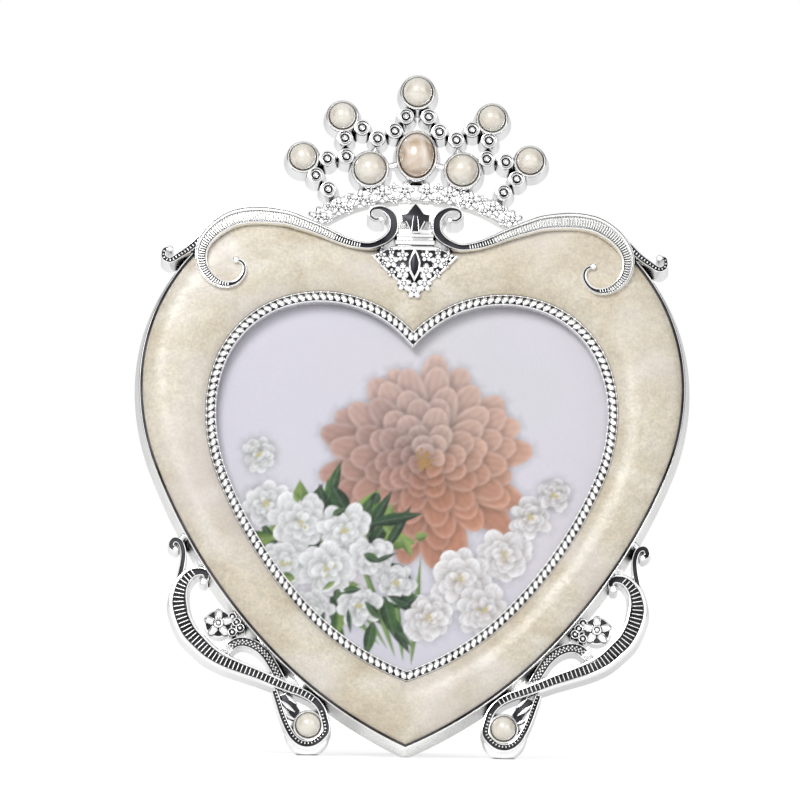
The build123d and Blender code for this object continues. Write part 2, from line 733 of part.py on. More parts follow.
def make_bead_trim():
    strip = heart_face(WINDOW, bead_strip_half_width) - heart_face(WINDOW, -bead_strip_half_width)
    beads = []
    for place in points_along(WINDOW, bead_pitch):
        beads += [dome(spot, bead_radius, casting_depth + bead_strip_height) for spot in both(place)]
    return slab(strip, casting_depth, casting_depth + bead_strip_height) + beads


def pocket_layer(back, thickness):
    return slab(heart_face(WINDOW, pocket_margin - pocket_clearance), back, back + thickness)


def solids_only(part):
    """Drop slivers that a cut may leave."""
    solids = part.solids()
    largest = max(solid.volume for solid in solids)
    return Part() + [solid for solid in solids if solid.volume > largest / 1000]


# Assembly, still lying flat
pivots = button_pivots()
casting = make_casting(pivots)
scroll_full = make_scroll()
foot_full = make_foot()
palmette_full = make_palmette()
crown_full = make_crown()

STAND = Rot(X=QUARTER - lean_angle)


def lowest(part):
    return (STAND * part).bounding_box().min.Z


# The heels stand level with the tip of the heart
heel = make_heel()
heel_drop = (lowest(casting) - lowest(heel)) / math.cos(math.radians(lean_angle))
foot_full += Pos(0, heel_drop, 0) * heel
lugs = [lug(ends) for ends in LUG_SHARES]
lug_screw_places = [at(*ends[1]) for ends in LUG_SHARES]

above_tray = plate(2 * rim_half_width, 0, 2 * heart_height, tray_floor, scroll_top + overrun)
scrolls = [scroll_full, mirrored(scroll_full)]
for ornament in [*scrolls, palmette_full]:
    casting -= ornament & above_tray
for shape in lugs:
    casting = casting - shape - mirrored(shape)

scroll_screw_places = [at(*share) for share in SCROLL_SCREW_SHARES]
palmette_screw_place = at(*PALMETTE_SCREW_SHARES)
crown_screw_place = at(*CROWN_SCREW_SHARES)

scroll_screws, foot_screws, button_screws = [], [], []
for place in scroll_screw_places:
    for spot in both(place):
        scroll_screws.append(screw(spot, hollow_depth, tray_floor - hollow_depth + screw_engagement))
        casting -= counterbore(spot, hollow_depth)
palmette_screw = screw(palmette_screw_place, hollow_depth, tray_floor - hollow_depth + screw_engagement)
casting -= counterbore(palmette_screw_place, hollow_depth)
crown_screws = [screw(spot, 0, crown_depth - flower_step) for spot in both(crown_screw_place)]
for place in lug_screw_places:
    for spot in both(place):
        foot_screws.append(screw(spot, hollow_depth - lug_depth, lug_depth + tray_floor_thickness / 2))
for u, v, _ in pivots:
    button_screws.append(screw((u, v), button_seat, hollow_depth - button_seat))
casting -= [*scroll_screws, palmette_screw, *crown_screws, *foot_screws, *button_screws]

core = make_blank() & plate(2 * rim_half_width, -overrun, 2 * heart_height, 0, tray_floor)
palmette = solids_only(palmette_full - core - casting - scrolls - palmette_screw)
crown = solids_only(crown_full - casting - scrolls - palmette_full - crown_screws)
enamel = solids_only(make_enamel() - scrolls - palmette_full - scroll_screws)
scroll_right = solids_only(scroll_full - core - casting - scroll_screws)
foot_right = solids_only(foot_full - core - casting + lugs - foot_screws)

layers = {}
level = 0
for name, thickness in (("back_board", board_thickness), ("filler_card", card_thickness),
                        ("photo_print", print_thickness), ("cover_glass", glass_thickness)):
    layers[name] = pocket_layer(level, thickness)
    level += thickness
board_rivets = make_board_rivets()
leg_rivets = make_leg_rivets()

cup_floor = setting_depth - cup_depth
nodes = {
    "heart_casting": casting,
    "pearl_enamel": enamel,
    "bead_trim": make_bead_trim(),
    "scroll_right": scroll_right,
    "scroll_left": mirrored(scroll_right),
    "palmette": palmette,
    "crown_casting": crown,
    "foot_scroll_right": foot_right,
    "foot_scroll_left": mirrored(foot_right),
    "crown_top_pearl": pearl(at(*TOP_PEARL_SHARES), top_pearl_radius, cup_floor),
    "crown_tip_pearls": [pearl(spot, tip_pearl_radius, cup_floor)
                         for share in TIP_PEARL_SHARES for spot in both(at(*share))],
    "crown_side_cabochons": [pearl(spot, side_cabochon_radius, cup_floor)
                             for spot in both(at(*SIDE_CABOCHON_SHARES))],
    "crown_oval_cabochon": make_oval_cabochon(),
    "foot_pearls": [pearl(spot, foot_pearl_radius, foot_depth - cup_depth)
                    for spot in both(at(*FOOT_PEARL_SHARES))],
    "cover_glass": layers["cover_glass"],
    "photo_print": layers["photo_print"],
    "filler_card": layers["filler_card"],
    "back_board": layers["back_board"] - board_rivets,
    "hinge_fixed_leaf": make_fixed_leaf(),
    "fixed_leaf_rivets": board_rivets,
    "hinge_pin": bar_along_u(0, pin_radius, 2 * leaf_half_width),
    "hinge_moving_leaf": make_moving_leaf(),
    "easel_leg": make_leg(),
    "leg_rivets": leg_rivets,
    "scroll_screws": scroll_screws,
    "palmette_screw": palmette_screw,
    "crown_screws": crown_screws,
    "foot_scroll_screws": foot_screws,
    "turn_button_screws": button_screws,
}
for name, pivot in zip(("upper_right", "upper_left", "lower_right", "lower_left"), pivots):
    nodes["turn_button_" + name] = make_button(pivot)

# Stand the frame up, grind the heels, the tip and the leg flat, and centre it over the floor
floor = lowest(casting) + ground_cut
ground = Pos(0, 0, floor) * Box(4 * heart_height, 4 * heart_height, heart_height,
                                align=(Align.CENTER, Align.CENTER, Align.MAX))
standing = {}
for name, pieces in nodes.items():
    pieces = pieces if isinstance(pieces, list) else [pieces]
    placed = [STAND * piece for piece in pieces]
    if name in ("heart_casting", "foot_scroll_left", "foot_scroll_right", "easel_leg"):
        placed = [piece - ground for piece in placed]
    standing[name] = [solid for piece in placed for solid in piece.solids()]
whole = Compound([solid for solids in standing.values() for solid in solids]).bounding_box()
shift = Pos(0, -whole.center().Y, -whole.min.Z)

os.makedirs("parts", exist_ok=True)
for name, solids in standing.items():
    moved = [shift * solid for solid in solids]
    export_step(Compound(moved) if len(moved) > 1 else moved[0], "parts/" + name + ".step")

print("size", [round(value, 2) for value in whole.size])
origin = shift * STAND
print("casting origin", [round(value, 3) for value in origin.position])
print("heel drop", round(heel_drop, 3))
hinge_place = origin * HINGE
print("hinge axis through", [round(value, 3) for value in hinge_place.position])
for u, v, _ in pivots:
    place = origin * Pos(u, v, -button_gap - button_thickness / 2)
    print("turn button pivot", [round(value, 3) for value in place.position])
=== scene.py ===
from math import asin, atan2, cos, degrees, pi, radians, sin, sqrt, tau

import bmesh
import bpy
import numpy as np
from mathutils import Matrix, Vector


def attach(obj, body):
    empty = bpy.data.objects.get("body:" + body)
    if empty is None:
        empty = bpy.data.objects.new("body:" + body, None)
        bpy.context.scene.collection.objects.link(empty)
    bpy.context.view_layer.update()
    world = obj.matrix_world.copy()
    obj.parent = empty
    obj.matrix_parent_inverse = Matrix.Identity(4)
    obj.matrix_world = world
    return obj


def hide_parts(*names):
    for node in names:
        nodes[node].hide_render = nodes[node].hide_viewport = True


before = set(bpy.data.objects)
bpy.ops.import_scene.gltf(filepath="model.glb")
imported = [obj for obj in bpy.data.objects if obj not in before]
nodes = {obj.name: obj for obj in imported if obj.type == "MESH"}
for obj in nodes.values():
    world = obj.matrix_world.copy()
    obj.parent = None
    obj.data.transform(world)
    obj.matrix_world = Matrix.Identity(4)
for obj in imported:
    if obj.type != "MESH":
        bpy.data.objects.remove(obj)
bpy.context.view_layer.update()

# Shapes are drawn in millimetres in the plane of the frame, u to the right, v up from the tip
# of the heart and w forwards from the back of the casting, and are stood up by STAND.
MM = 0.001
LEAN = radians(12.5)
ORIGIN_Y, ORIGIN_Z = -22.361, 0.783
SIN, COS = sin(LEAN), cos(LEAN)
STAND = np.array(((1, 0, 0), (0, SIN, -COS), (0, COS, SIN)))

HALF_WIDTH = 68.3
HEIGHT = 135.87
# Hearts: half width, tip, upper radii and angles, lower radii and angles
RIM = (68.3, 0, (49.9, 14.6, 1850.0), (55.2, 51.5), (58.1, 140.7, 109.2), (21.1, 24.2))
WINDOW = (50.2, 18.3, (34.8, 25.6, 29.9), (20.9, 53.1), (46.3, 107.9, 67.4), (22.0, 20.4))
SIDE_STEPS = 220
ARC_STEPS = 40
CURVE_STEPS = 16
TINY = 1e-12

# Heights in the casting, and how far inside the rim a crossing piece is tucked
TRAY_FLOOR = 5.8
HOLLOW = 3.4
WALL = 1.2
TUCK_EDGE = -1.0

# Numbers of the finishes in METAL; the dark one is painted dark shade and reflection
SILVER, PAINTED_DARK, SATIN = 0, 1, 2
# Each side, and whether it is the mirror image
SIDES = (("right", False), ("left", True))


def at(*shares):
    """Place from its shares of the half width and of the height."""
    return shares[0] * HALF_WIDTH, shares[1] * HEIGHT


# Outlines
def side_arcs(half_width, radii, angles, grow):
    """Arcs from the widest place, as centre, rise, radius, first and last heading."""
    centre, rise, heading, arcs = half_width - radii[0], 0, 90, []
    for step, radius in enumerate(radii):
        if step:
            shift = radii[step - 1] - radius
            centre += shift * sin(radians(heading))
            rise -= shift * cos(radians(heading))
        last = heading + angles[step] if step < len(angles) else 0
        if not last:
            last = 180 + degrees(asin(centre / (radius + grow)))
        arcs.append((centre, rise, radius + grow, heading, last))
        heading = last
    return arcs


def arc_point(arc, heading):
    turn = radians(heading)
    return arc[0] + arc[2] * sin(turn), arc[1] - arc[2] * cos(turn)


def half_heart(heart, grow, count):
    """Evenly spaced points down the right side, from the cleft to the tip."""
    half_width, tip, upper_radii, upper_angles, lower_radii, lower_angles = heart
    lowest = side_arcs(half_width, lower_radii, lower_angles, 0)[-1]
    widest = tip + arc_point(lowest, lowest[4])[1]
    dense = []
    for arc in reversed(side_arcs(half_width, upper_radii, upper_angles, grow)):
        for heading in np.linspace(arc[4], arc[3], ARC_STEPS, endpoint=False):
            u, rise = arc_point(arc, heading)
            dense.append((u, widest + rise))
    for arc in side_arcs(half_width, lower_radii, lower_angles, grow):
        for heading in np.linspace(arc[3], arc[4], ARC_STEPS):
            u, rise = arc_point(arc, heading)
            dense.append((u, widest - rise))
    return even(np.array(dense), count)


def step_lengths(line):
    return np.linalg.norm(np.diff(line[:, :2], axis=0), axis=1)


def even(dense, count):
    """The same line in count equal steps."""
    length = np.concatenate(([0], np.cumsum(step_lengths(dense))))
    wanted = np.linspace(0, length[-1], count + 1)
    return np.column_stack([np.interp(wanted, length, column) for column in dense.T])


def heart_loop(heart, grow):
    right = half_heart(heart, grow, SIDE_STEPS)
    return np.vstack((right, right[-2:0:-1] * (-1, 1)))


def smooth_line(places, step):
    """Even samples, about step apart, of a smooth curve through rows that begin with u and v."""
    rows = np.array(places, float)
    rows = np.vstack((2 * rows[0] - rows[1], rows, 2 * rows[-1] - rows[-2]))
    dense = []
    for a, b, c, d in zip(rows, rows[1:], rows[2:], rows[3:]):
        for t in np.linspace(0, 1, CURVE_STEPS, endpoint=False):
            dense.append((2 * b + (c - a) * t + (2 * a - 5 * b + 4 * c - d) * t ** 2
                          + (3 * b - a - 3 * c + d) * t ** 3) / 2)
    dense = np.array(dense + [rows[-2]])
    return even(dense, max(2, round(step_lengths(dense).sum() / step)))


def directions(line):
    along = np.gradient(line[:, :2], axis=0)
    return along / np.linalg.norm(along, axis=1)[:, None]


def inside(points, loop):
    """Which points lie inside a closed loop."""
    u, v = points[:, :1], points[:, 1:2]
    after = np.roll(loop, -1, axis=0)
    crosses = (loop[:, 1] > v) != (after[:, 1] > v)
    rise = after[:, 1] - loop[:, 1] + TINY
    meets = loop[:, 0] + (v - loop[:, 1]) * (after[:, 0] - loop[:, 0]) / rise
    return (crosses & (u < meets)).sum(axis=1) % 2 == 1


def full_turn(count):
    return np.linspace(0, tau, count, endpoint=False)


# Shapes
BAR_SHARES = (0, 0.12, 0.5, 0.88, 1)
BAR_END, BAR_STEP = 0.55, 0.3


class Shape:
    """Points and faces, each face with the number of its finish in METAL."""

    def __init__(self):
        self.points, self.faces, self.kinds = [], [], []

    def grid(self, rows, kinds=SILVER, loop_rows=False, loop_columns=False):
        start, wide = len(self.points), len(rows[0])
        for row in rows:
            self.points.extend(tuple(point) for point in row)
        for i in range(len(rows) - (not loop_rows)):
            this, following = start + i * wide, start + (i + 1) % len(rows) * wide
            row_kinds = kinds[i] if isinstance(kinds, list) and isinstance(kinds[0], list) else kinds
            for j in range(wide - (not loop_columns)):
                k = (j + 1) % wide
                self.faces.append((this + j, this + k, following + k, following + j))
                self.kinds.append(row_kinds if isinstance(row_kinds, int) else row_kinds[j])

    def face(self, points, kind=SILVER):
        start = len(self.points)
        self.points.extend(tuple(point) for point in points)
        self.faces.append(tuple(range(start, start + len(points))))
        self.kinds.append(kind)

    def ring(self, profile, kinds=SILVER):
        """Band all round a heart; the profile has heart, growth and height."""
        rows = [[(u, v, w) for u, v in heart_loop(heart, grow)] for heart, grow, w in profile]
        if not isinstance(kinds, int):
            kinds = [[kind] * len(rows[0]) for kind in kinds]
        self.grid(rows, kinds, loop_columns=True)

    def lathe(self, place, profile, kinds=SILVER, turns=28):
        """Surface of revolution about w, from a profile of radii and heights."""
        rows = [[(place[0] + radius * cos(angle), place[1] + radius * sin(angle), w)
                 for radius, w in profile] for angle in full_turn(turns)]
        self.grid(rows, kinds, loop_rows=True)
        self.face([row[0] for row in rows], SATIN)

    def egg(self, place, seat, along, across, rise, angle, kind=SILVER, rings=4, turns=12):
        """Half of an egg on a flat seat, with its long axis turned by angle."""
        du, dv = cos(angle), sin(angle)
        rows = []
        for ring in range(rings + 1):
            tilt = pi / 2 * ring / rings
            height = seat + rise * sin(tilt)
            row = []
            for turn in full_turn(turns):
                x = along * cos(tilt) * cos(turn)
                y = across * cos(tilt) * sin(turn)
                row.append((place[0] + x * du - y * dv, place[1] + x * dv + y * du, height))
            rows.append(row)
        self.grid(rows, kind, loop_columns=True)

    def sweep(self, places, step, section, kinds=SILVER):
        """Section swept along a smooth line through rows of u, v and width.

        section gives places across and heights for half a width; kinds may be a function of the
        share of the way along the line."""
        line, rows = smooth_line(places, step), []
        for (u, v, width), (du, dv) in zip(line, directions(line)):
            rows.append([(u - dv * x, v + du * x, w) for x, w in section(width / 2)])
        if callable(kinds):
            kinds = [kinds(index / len(rows)) + [SATIN] for index in range(len(rows))]
        else:
            kinds = (kinds if isinstance(kinds, list) else [kinds] * (len(rows[0]) - 1)) + [SATIN]
        self.grid(rows, kinds, loop_columns=True)
        self.face(rows[0])
        self.face(rows[-1])

    def bars(self, places, low, high, seat, rise, pitch, fill=0.5, kind=SILVER):
        """Rounded bars across a line, from low to high as shares of its half width."""
        line = smooth_line(places, BAR_STEP)
        spots = even(line, max(1, round(step_lengths(line).sum() / pitch)))
        half = pitch * fill / 2
        for (u, v, width), (du, dv) in zip(spots, directions(spots)):
            rows = []
            for share in BAR_SHARES:
                x = (low + (high - low) * share) * width / 2
                swell = BAR_END if share in (0, 1) else 1
                row = []
                for turn in np.linspace(0, pi, 6):
                    y = half * swell * cos(turn)
                    w = seat + rise * swell * sin(turn)
                    row.append((u - dv * x + du * y, v + du * x + dv * y, w))
                rows.append(row)
            self.grid(rows, kind)
            self.face(rows[0], kind)
            self.face(rows[-1], kind)

    def plate(self, outline, back, front, kind=SILVER, edge=0.25, side=SILVER):
        """Flat piece with rounded edges, from its outline."""
        outline = np.array(outline, float)
        middle = outline.mean(axis=0)
        reach = np.linalg.norm(outline - middle, axis=1).mean()
        rows = []
        for shrink, w in ((0, back), (0, front - edge), (edge * 0.3, front - edge * 0.3), (edge, front)):
            ring = middle + (outline - middle) * (1 - shrink / reach)
            rows.append([(u, v, w) for u, v in ring])
        self.grid(rows, side, loop_columns=True)
        self.face(rows[-1], kind)
        self.face(rows[0], SATIN if side == SILVER else side)


def placed(name, data):
    made = bpy.data.objects.new(name, data)
    bpy.context.scene.collection.objects.link(made)
    return made


def piece(name, shape, finishes, replaces=(), mirror=False, tuck=None, crease=40):
    """One object that rides on the frame; tuck is its greatest height inside the heart."""
    points = np.array(shape.points)
    if tuck is not None:
        hidden = inside(points, heart_loop(RIM, TUCK_EDGE))
        points[hidden, 2] = np.clip(points[hidden, 2], HOLLOW + WALL, max(tuck, HOLLOW + WALL))
    if mirror:
        points[:, 0] *= -1
    points = (points @ STAND.T + (0, ORIGIN_Y, ORIGIN_Z)) * MM
    points[:, 2] = np.maximum(points[:, 2], 0)
    mesh = bpy.data.meshes.new(name)
    mesh.from_pydata(points.tolist(), [], shape.faces)
    mesh.polygons.foreach_set("material_index", shape.kinds)
    for finish in finishes:
        mesh.materials.append(finish)
    work = bmesh.new()
    work.from_mesh(mesh)
    bmesh.ops.remove_doubles(work, verts=work.verts, dist=2e-7)
    bmesh.ops.recalc_face_normals(work, faces=work.faces)
    work.to_mesh(mesh)
    work.free()
    mesh.shade_smooth()
    mesh.set_sharp_from_angle(angle=radians(crease))
    made = placed(name, mesh)
    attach(made, "frame")
    if replaces:
        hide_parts(*replaces)
    return made


# Finishes
def with_inputs(made, values):
    for socket, value in values.items():
        made.inputs[socket.replace("_", " ")].default_value = value
    return made


def new_finish(name, **values):
    made = bpy.data.materials.new(name)
    made.use_nodes = True
    tree = made.node_tree
    return made, tree, with_inputs(tree.nodes["Principled BSDF"], values)


def new_node(tree, kind, **values):
    return with_inputs(tree.nodes.new(kind), values)


def feed(tree, sockets, values):
    """Set each socket to its number or colour, or link it to the output of a node."""
    for socket, value in zip(sockets, values):
        if isinstance(value, (int, float, tuple)):
            socket.default_value = value
        else:
            tree.links.new(value, socket)


def noise(tree, size, detail=3.0, stretch=(1, 1, 1), warp=0.0):
    """Noise whose spots are about size millimetres across."""
    where = tree.nodes.new("ShaderNodeTexCoord")
    scaled = new_node(tree, "ShaderNodeMapping", Scale=stretch)
    made = new_node(tree, "ShaderNodeTexNoise", Scale=1 / (size * MM), Detail=detail, Distortion=warp)
    tree.links.new(where.outputs["Object"], scaled.inputs["Vector"])
    tree.links.new(scaled.outputs["Vector"], made.inputs["Vector"])
    return made.outputs["Fac"]


def ramp(tree, source, *stops):
    made = tree.nodes.new("ShaderNodeValToRGB")
    elements = made.color_ramp.elements
    while len(elements) < len(stops):
        elements.new(0.5)
    for element, (place, colour) in zip(elements, stops):
        element.position = place
        element.color = (*colour, 1) if isinstance(colour, tuple) else (colour, colour, colour, 1)
    tree.links.new(source, made.inputs["Fac"])
    return made.outputs["Color"]


def blended(tree, kind, first, second, factor=1.0):
    made = tree.nodes.new("ShaderNodeMix")
    made.data_type = "RGBA"
    made.blend_type = kind
    feed(tree, [socket for socket in made.inputs if socket.enabled], (factor, first, second))
    return next(socket for socket in made.outputs if socket.enabled)


def reckoned(tree, operation, *values):
    """Output of a math node."""
    made = tree.nodes.new("ShaderNodeMath")
    made.operation = operation
    feed(tree, made.inputs, values)
    return made.outputs[0]


def dress(tree, shader, colour, roughness):
    tree.links.new(colour, shader.inputs["Base Color"])
    tree.links.new(roughness, shader.inputs["Roughness"])


def bump(tree, shader, height, strength, distance):
    made = new_node(tree, "ShaderNodeBump", Strength=strength, Distance=distance * MM)
    tree.links.new(height, made.inputs["Height"])
    tree.links.new(made.outputs["Normal"], shader.inputs["Normal"])


def painted_crevice_shade(tree, reach, dark, low=0.35, high=0.8):
    """Painted shade: colour that darkens where neighbouring metal is within reach, as shade in crevices.
    """
    made = new_node(tree, "ShaderNodeAmbientOcclusion", Distance=reach * MM)
    made.samples = 6
    return ramp(tree, made.outputs["AO"], (low, dark), (high, 1.0))


def metal(name, light, dull, shine, grain, crevice_shade=None):
    """Clouded metal with a range of roughness; the settings for crevices, if given, darken the colour
    with painted shade in crevices.
    """
    made, tree, shader = new_finish(name, Metallic=1.0)
    clouds, wear = noise(tree, 9, 2), noise(tree, 2.5, 4)
    colour = ramp(tree, clouds, (0.35, dull), (0.65, light))
    if crevice_shade:
        colour = blended(tree, "MULTIPLY", colour, painted_crevice_shade(tree, *crevice_shade))
    dress(tree, shader, colour, ramp(tree, wear, (0.3, shine[0]), (0.7, shine[1])))
    bump(tree, shader, noise(tree, grain, 3), 0.12, 0.05)
    return made


# Silver, satin silver, nickel and steel are darkened in their crevices by painted shade.
silver = metal("silver_plate", (0.97, 0.97, 0.97), (0.92, 0.92, 0.925), (0.08, 0.18), 1.4,
               (0.8, 0.10, 0.20, 0.66))
satin = metal("satin_silver", (0.93, 0.93, 0.92), (0.82, 0.82, 0.81), (0.22, 0.36), 0.7,
              (0.5, 0.5, 0.15, 0.6))
# Painted dark shade and reflection, laid on grooves, gaps and flat fronts that look dark only by shade
# and reflection.
painted_dark_finish = metal("painted_dark_shade_and_reflection", (0.045, 0.045, 0.05), (0.012, 0.012, 0.014), (0.28, 0.45), 0.8)
nickel = metal("brushed_nickel", (0.62, 0.61, 0.58), (0.5, 0.49, 0.47), (0.25, 0.4), 0.5, (0.8, 0.2))
steel = metal("zinc_steel", (0.55, 0.55, 0.56), (0.42, 0.42, 0.44), (0.28, 0.42), 0.6, (0.8, 0.2))


def make_enamel_finish():
    made, tree, shader = new_finish("pearl_enamel", Coat_Weight=0.3, Coat_Roughness=0.3, Coat_IOR=1.5,
                                    Specular_IOR_Level=0.35)
    clouds = ramp(tree, noise(tree, 17, 4, (1, 1, 1.3), 1.0),
                  (0.30, (0.64, 0.56, 0.42)), (0.50, (0.72, 0.65, 0.52)), (0.70, (0.81, 0.76, 0.66)))
    swirls = noise(tree, 3.2, 5, (0.8, 1, 1.2), 1.6)
    wisps = ramp(tree, swirls, (0.38, 0.93), (0.62, 1.05))
    flakes = ramp(tree, noise(tree, 0.7, 3), (0.32, 0.90), (0.68, 1.08))
    colour = blended(tree, "MULTIPLY", blended(tree, "MULTIPLY", clouds, wisps), flakes)
    lilac = ramp(tree, noise(tree, 26, 1), (0.50, 0.0), (0.72, 0.5))
    colour = blended(tree, "MIX", colour, (0.80, 0.75, 0.75, 1), lilac)
    dress(tree, shader, colour, ramp(tree, swirls, (0.3, 0.40), (0.7, 0.24)))
    bump(tree, shader, noise(tree, 4.5, 2), 0.08, 0.12)
    return made


def make_pearl_finish(name, light, shade, size):
    made, tree, shader = new_finish(name, Coat_Weight=1.0, Coat_Roughness=0.18, Coat_IOR=2.0)
    colour = ramp(tree, noise(tree, size, 2, warp=0.8), (0.35, shade), (0.62, light))
    dress(tree, shader, colour, ramp(tree, noise(tree, 1.2, 2), (0.3, 0.22), (0.7, 0.34)))
    return made


def make_cloth_finish(name, light, dark, size, sheen):
    made, tree, shader = new_finish(name, Sheen_Weight=sheen, Sheen_Roughness=0.35)
    nap = noise(tree, size, 5, (1, 1, 1), 0.4)
    patches = ramp(tree, noise(tree, 22, 2), (0.35, 0.8), (0.65, 1.1))
    colour = blended(tree, "MULTIPLY", ramp(tree, nap, (0.3, dark), (0.7, light)), patches)
    dress(tree, shader, colour, ramp(tree, nap, (0.3, 0.95), (0.7, 0.8)))
    bump(tree, shader, nap, 0.5, 0.15)
    return made


def make_glass_finish():
    made, tree, shader = new_finish("clear_glass", Transmission_Weight=1.0, IOR=1.1, Roughness=0.0)
    tint = ramp(tree, noise(tree, 60, 1), (0.3, (0.97, 0.98, 0.98)), (0.7, (1.0, 1.0, 1.0)))
    tree.links.new(tint, shader.inputs["Base Color"])
    return made


enamel = make_enamel_finish()
pearl = make_pearl_finish("pearl", (0.92, 0.88, 0.78), (0.80, 0.72, 0.61), 5)
warm_pearl = make_pearl_finish("warm_pearl", (0.88, 0.77, 0.66), (0.56, 0.39, 0.25), 6)
velvet = make_cloth_finish("black_velvet", (0.022, 0.021, 0.023), (0.006, 0.006, 0.007), 0.5, 0.35)
card = make_cloth_finish("grey_card", (0.52, 0.49, 0.43), (0.42, 0.39, 0.34), 0.8, 0.0)
glass = make_glass_finish()
METAL = (silver, painted_dark_finish, satin)


def give(finish, *names):
    for name in names:
        for slot in nodes[name].material_slots:
            slot.material = finish


give(satin, "heart_casting")
give(pearl, "crown_top_pearl", "crown_tip_pearls", "crown_side_cabochons", "foot_pearls")
give(glass, "cover_glass")
give(velvet, "back_board", "easel_leg")
give(card, "filler_card")
give(steel, "hinge_fixed_leaf", "hinge_moving_leaf", "hinge_pin", "fixed_leaf_rivets", "leg_rivets",
     "scroll_screws", "palmette_screw", "crown_screws", "foot_scroll_screws", "turn_button_screws")
buttons = [name for name in nodes if name.startswith("turn_button_") and name != "turn_button_screws"]
give(nickel, *buttons)
nodes["cover_glass"].visible_shadow = False
nodes["cover_glass"].visible_diffuse = False

# Enamel: a band that rises in a dome between the rim and the window
ENAMEL_STEPS = 10
ENAMEL_SEAT, ENAMEL_EDGE, ENAMEL_RISE, ENAMEL_REACH = 6.0, 7.0, 2.8, 6.4
RIM_LAP, BEZEL_LAP = 0.8, 1.3


def enamel_profile(heart, edge, turn):
    angles = np.linspace(0, pi / 2, ENAMEL_STEPS)
    return [(heart, turn * (edge + ENAMEL_REACH * (1 - cos(angle))),
             ENAMEL_EDGE + ENAMEL_RISE * sin(angle)) for angle in angles]


band = Shape()
outer = [(RIM, -RIM_LAP, ENAMEL_SEAT)] + enamel_profile(RIM, RIM_LAP, -1)
inner = [(WINDOW, BEZEL_LAP, ENAMEL_SEAT)] + enamel_profile(WINDOW, BEZEL_LAP, 1)
band.ring(outer + inner[::-1])
piece("enamel_band", band, [enamel], ["pearl_enamel"])

# Rim: a line of painted dark reflection and a bright thread
line = Shape()
line.ring([(RIM, -1.05, 6.9), (RIM, -0.98, 7.45), (RIM, -0.3, 7.45), (RIM, -0.26, 7.62),
           (RIM, -0.12, 7.7), (RIM, 0.02, 7.6), (RIM, 0.08, 7.3)], [PAINTED_DARK] * 2 + [SILVER] * 4)
piece("rim_line", line, METAL)

# Bezel: two threads with a row of slanted beads between them, on a strip of painted dark shade that
# shows between the beads
BEAD_COUNT = 89
BEAD_SLANT = radians(38)
BEAD_SEAT, BEAD_LONG, BEAD_WIDE, BEAD_RISE = 7.42, 1.2, 0.76, 0.95
BEZEL_PROFILE = (
    (1.5, 7.1), (1.44, 7.6), (1.24, 7.8), (1.04, 7.66), (0.96, 7.44), (-0.86, 7.44), (-0.94, 7.66),
    (-1.12, 7.76), (-1.3, 7.6), (-1.34, 7.2))

bezel = Shape()
bezel.ring([(WINDOW, grow, w) for grow, w in BEZEL_PROFILE], [SILVER] * 4 + [PAINTED_DARK] + [SILVER] * 4)
beads = half_heart(WINDOW, 0.05, BEAD_COUNT)
middles = (beads[1:] + beads[:-1]) / 2
for (u, v), (du, dv) in zip(middles, directions(middles)):
    slant = atan2(dv, du) + BEAD_SLANT
    for side in (1, -1):
        angle = slant if side > 0 else pi - slant
        bezel.egg((side * u, v), BEAD_SEAT, BEAD_LONG, BEAD_WIDE, BEAD_RISE, angle)
piece("bezel_beads", bezel, METAL, ["bead_trim"], crease=50)


# Sections of ribbons: places across and heights for half a width
FLARE, SHOULDER, ROUND_FLARE = 1.18, 1.03, 1.15
SHOULDER_DROP, RIM_DROP, LIP_DROP, WALL_DROP = 1.2, 0.4, 0.05, 0.15


def flank(half, front, back):
    """Side of a ribbon, from its back to the rounding of its rim."""
    return [(-FLARE * half, back), (-SHOULDER * half, front - SHOULDER_DROP), (-half, front - RIM_DROP)]


def lip(half, width, front, floor):
    """Rim of a ribbon, down to the floor of its channel."""
    return [(-half + 0.3 * width, front - LIP_DROP), (-half + 0.75 * width, front),
            (-half + width, front - WALL_DROP), (-half + width, floor)]


def mirrored(points):
    return [(-across, w) for across, w in reversed(points)]


def channel_section(front, outer_rim, inner_rim, depth, back=0):
    """Ribbon with a rim on each side of a sunken channel."""
    def section(half):
        right, left = min(outer_rim, 0.45 * half), min(inner_rim, 0.4 * half)
        floor = front - min(depth, half)
        side = flank(half, front, back)
        rims = lip(half, left, front, floor) + mirrored(lip(half, right, front, floor))
        return side + rims + mirrored(side)
    return section


# The channel floors carry painted dark shade and reflection.
CHANNEL_KINDS = [SILVER] * 6 + [PAINTED_DARK] + [SILVER] * 6


def round_section(front, back=0, rise=0.6):
    """Ribbon with a rounded front."""
    def section(half):
        arch = [(-half * cos(turn), front - rise + rise * sin(turn))
                for turn in np.linspace(0, pi, 9)]
        return [(-ROUND_FLARE * half, back)] + arch + [(ROUND_FLARE * half, back)]
    return section


def lug_section(half):
    return [(-half, 1.4), (-half, 3.4), (half, 3.4), (half, 1.4)]


def stations(shares, width, width_shares=None):
    """Rows of u, v and width for a ribbon."""
    parts = width_shares or [1] * len(shares)
    return [(*at(*share), part * width) for share, part in zip(shares, parts)]


def post(shape, place, radius, top):
    """Round end of a curl."""
    arch = [(radius * cos(turn), top - radius * 0.5 + radius * 0.5 * sin(turn))
            for turn in np.linspace(0, pi / 2, 6)]
    shape.lathe(place, [(ROUND_FLARE * radius, 0)] + arch, turns=20)


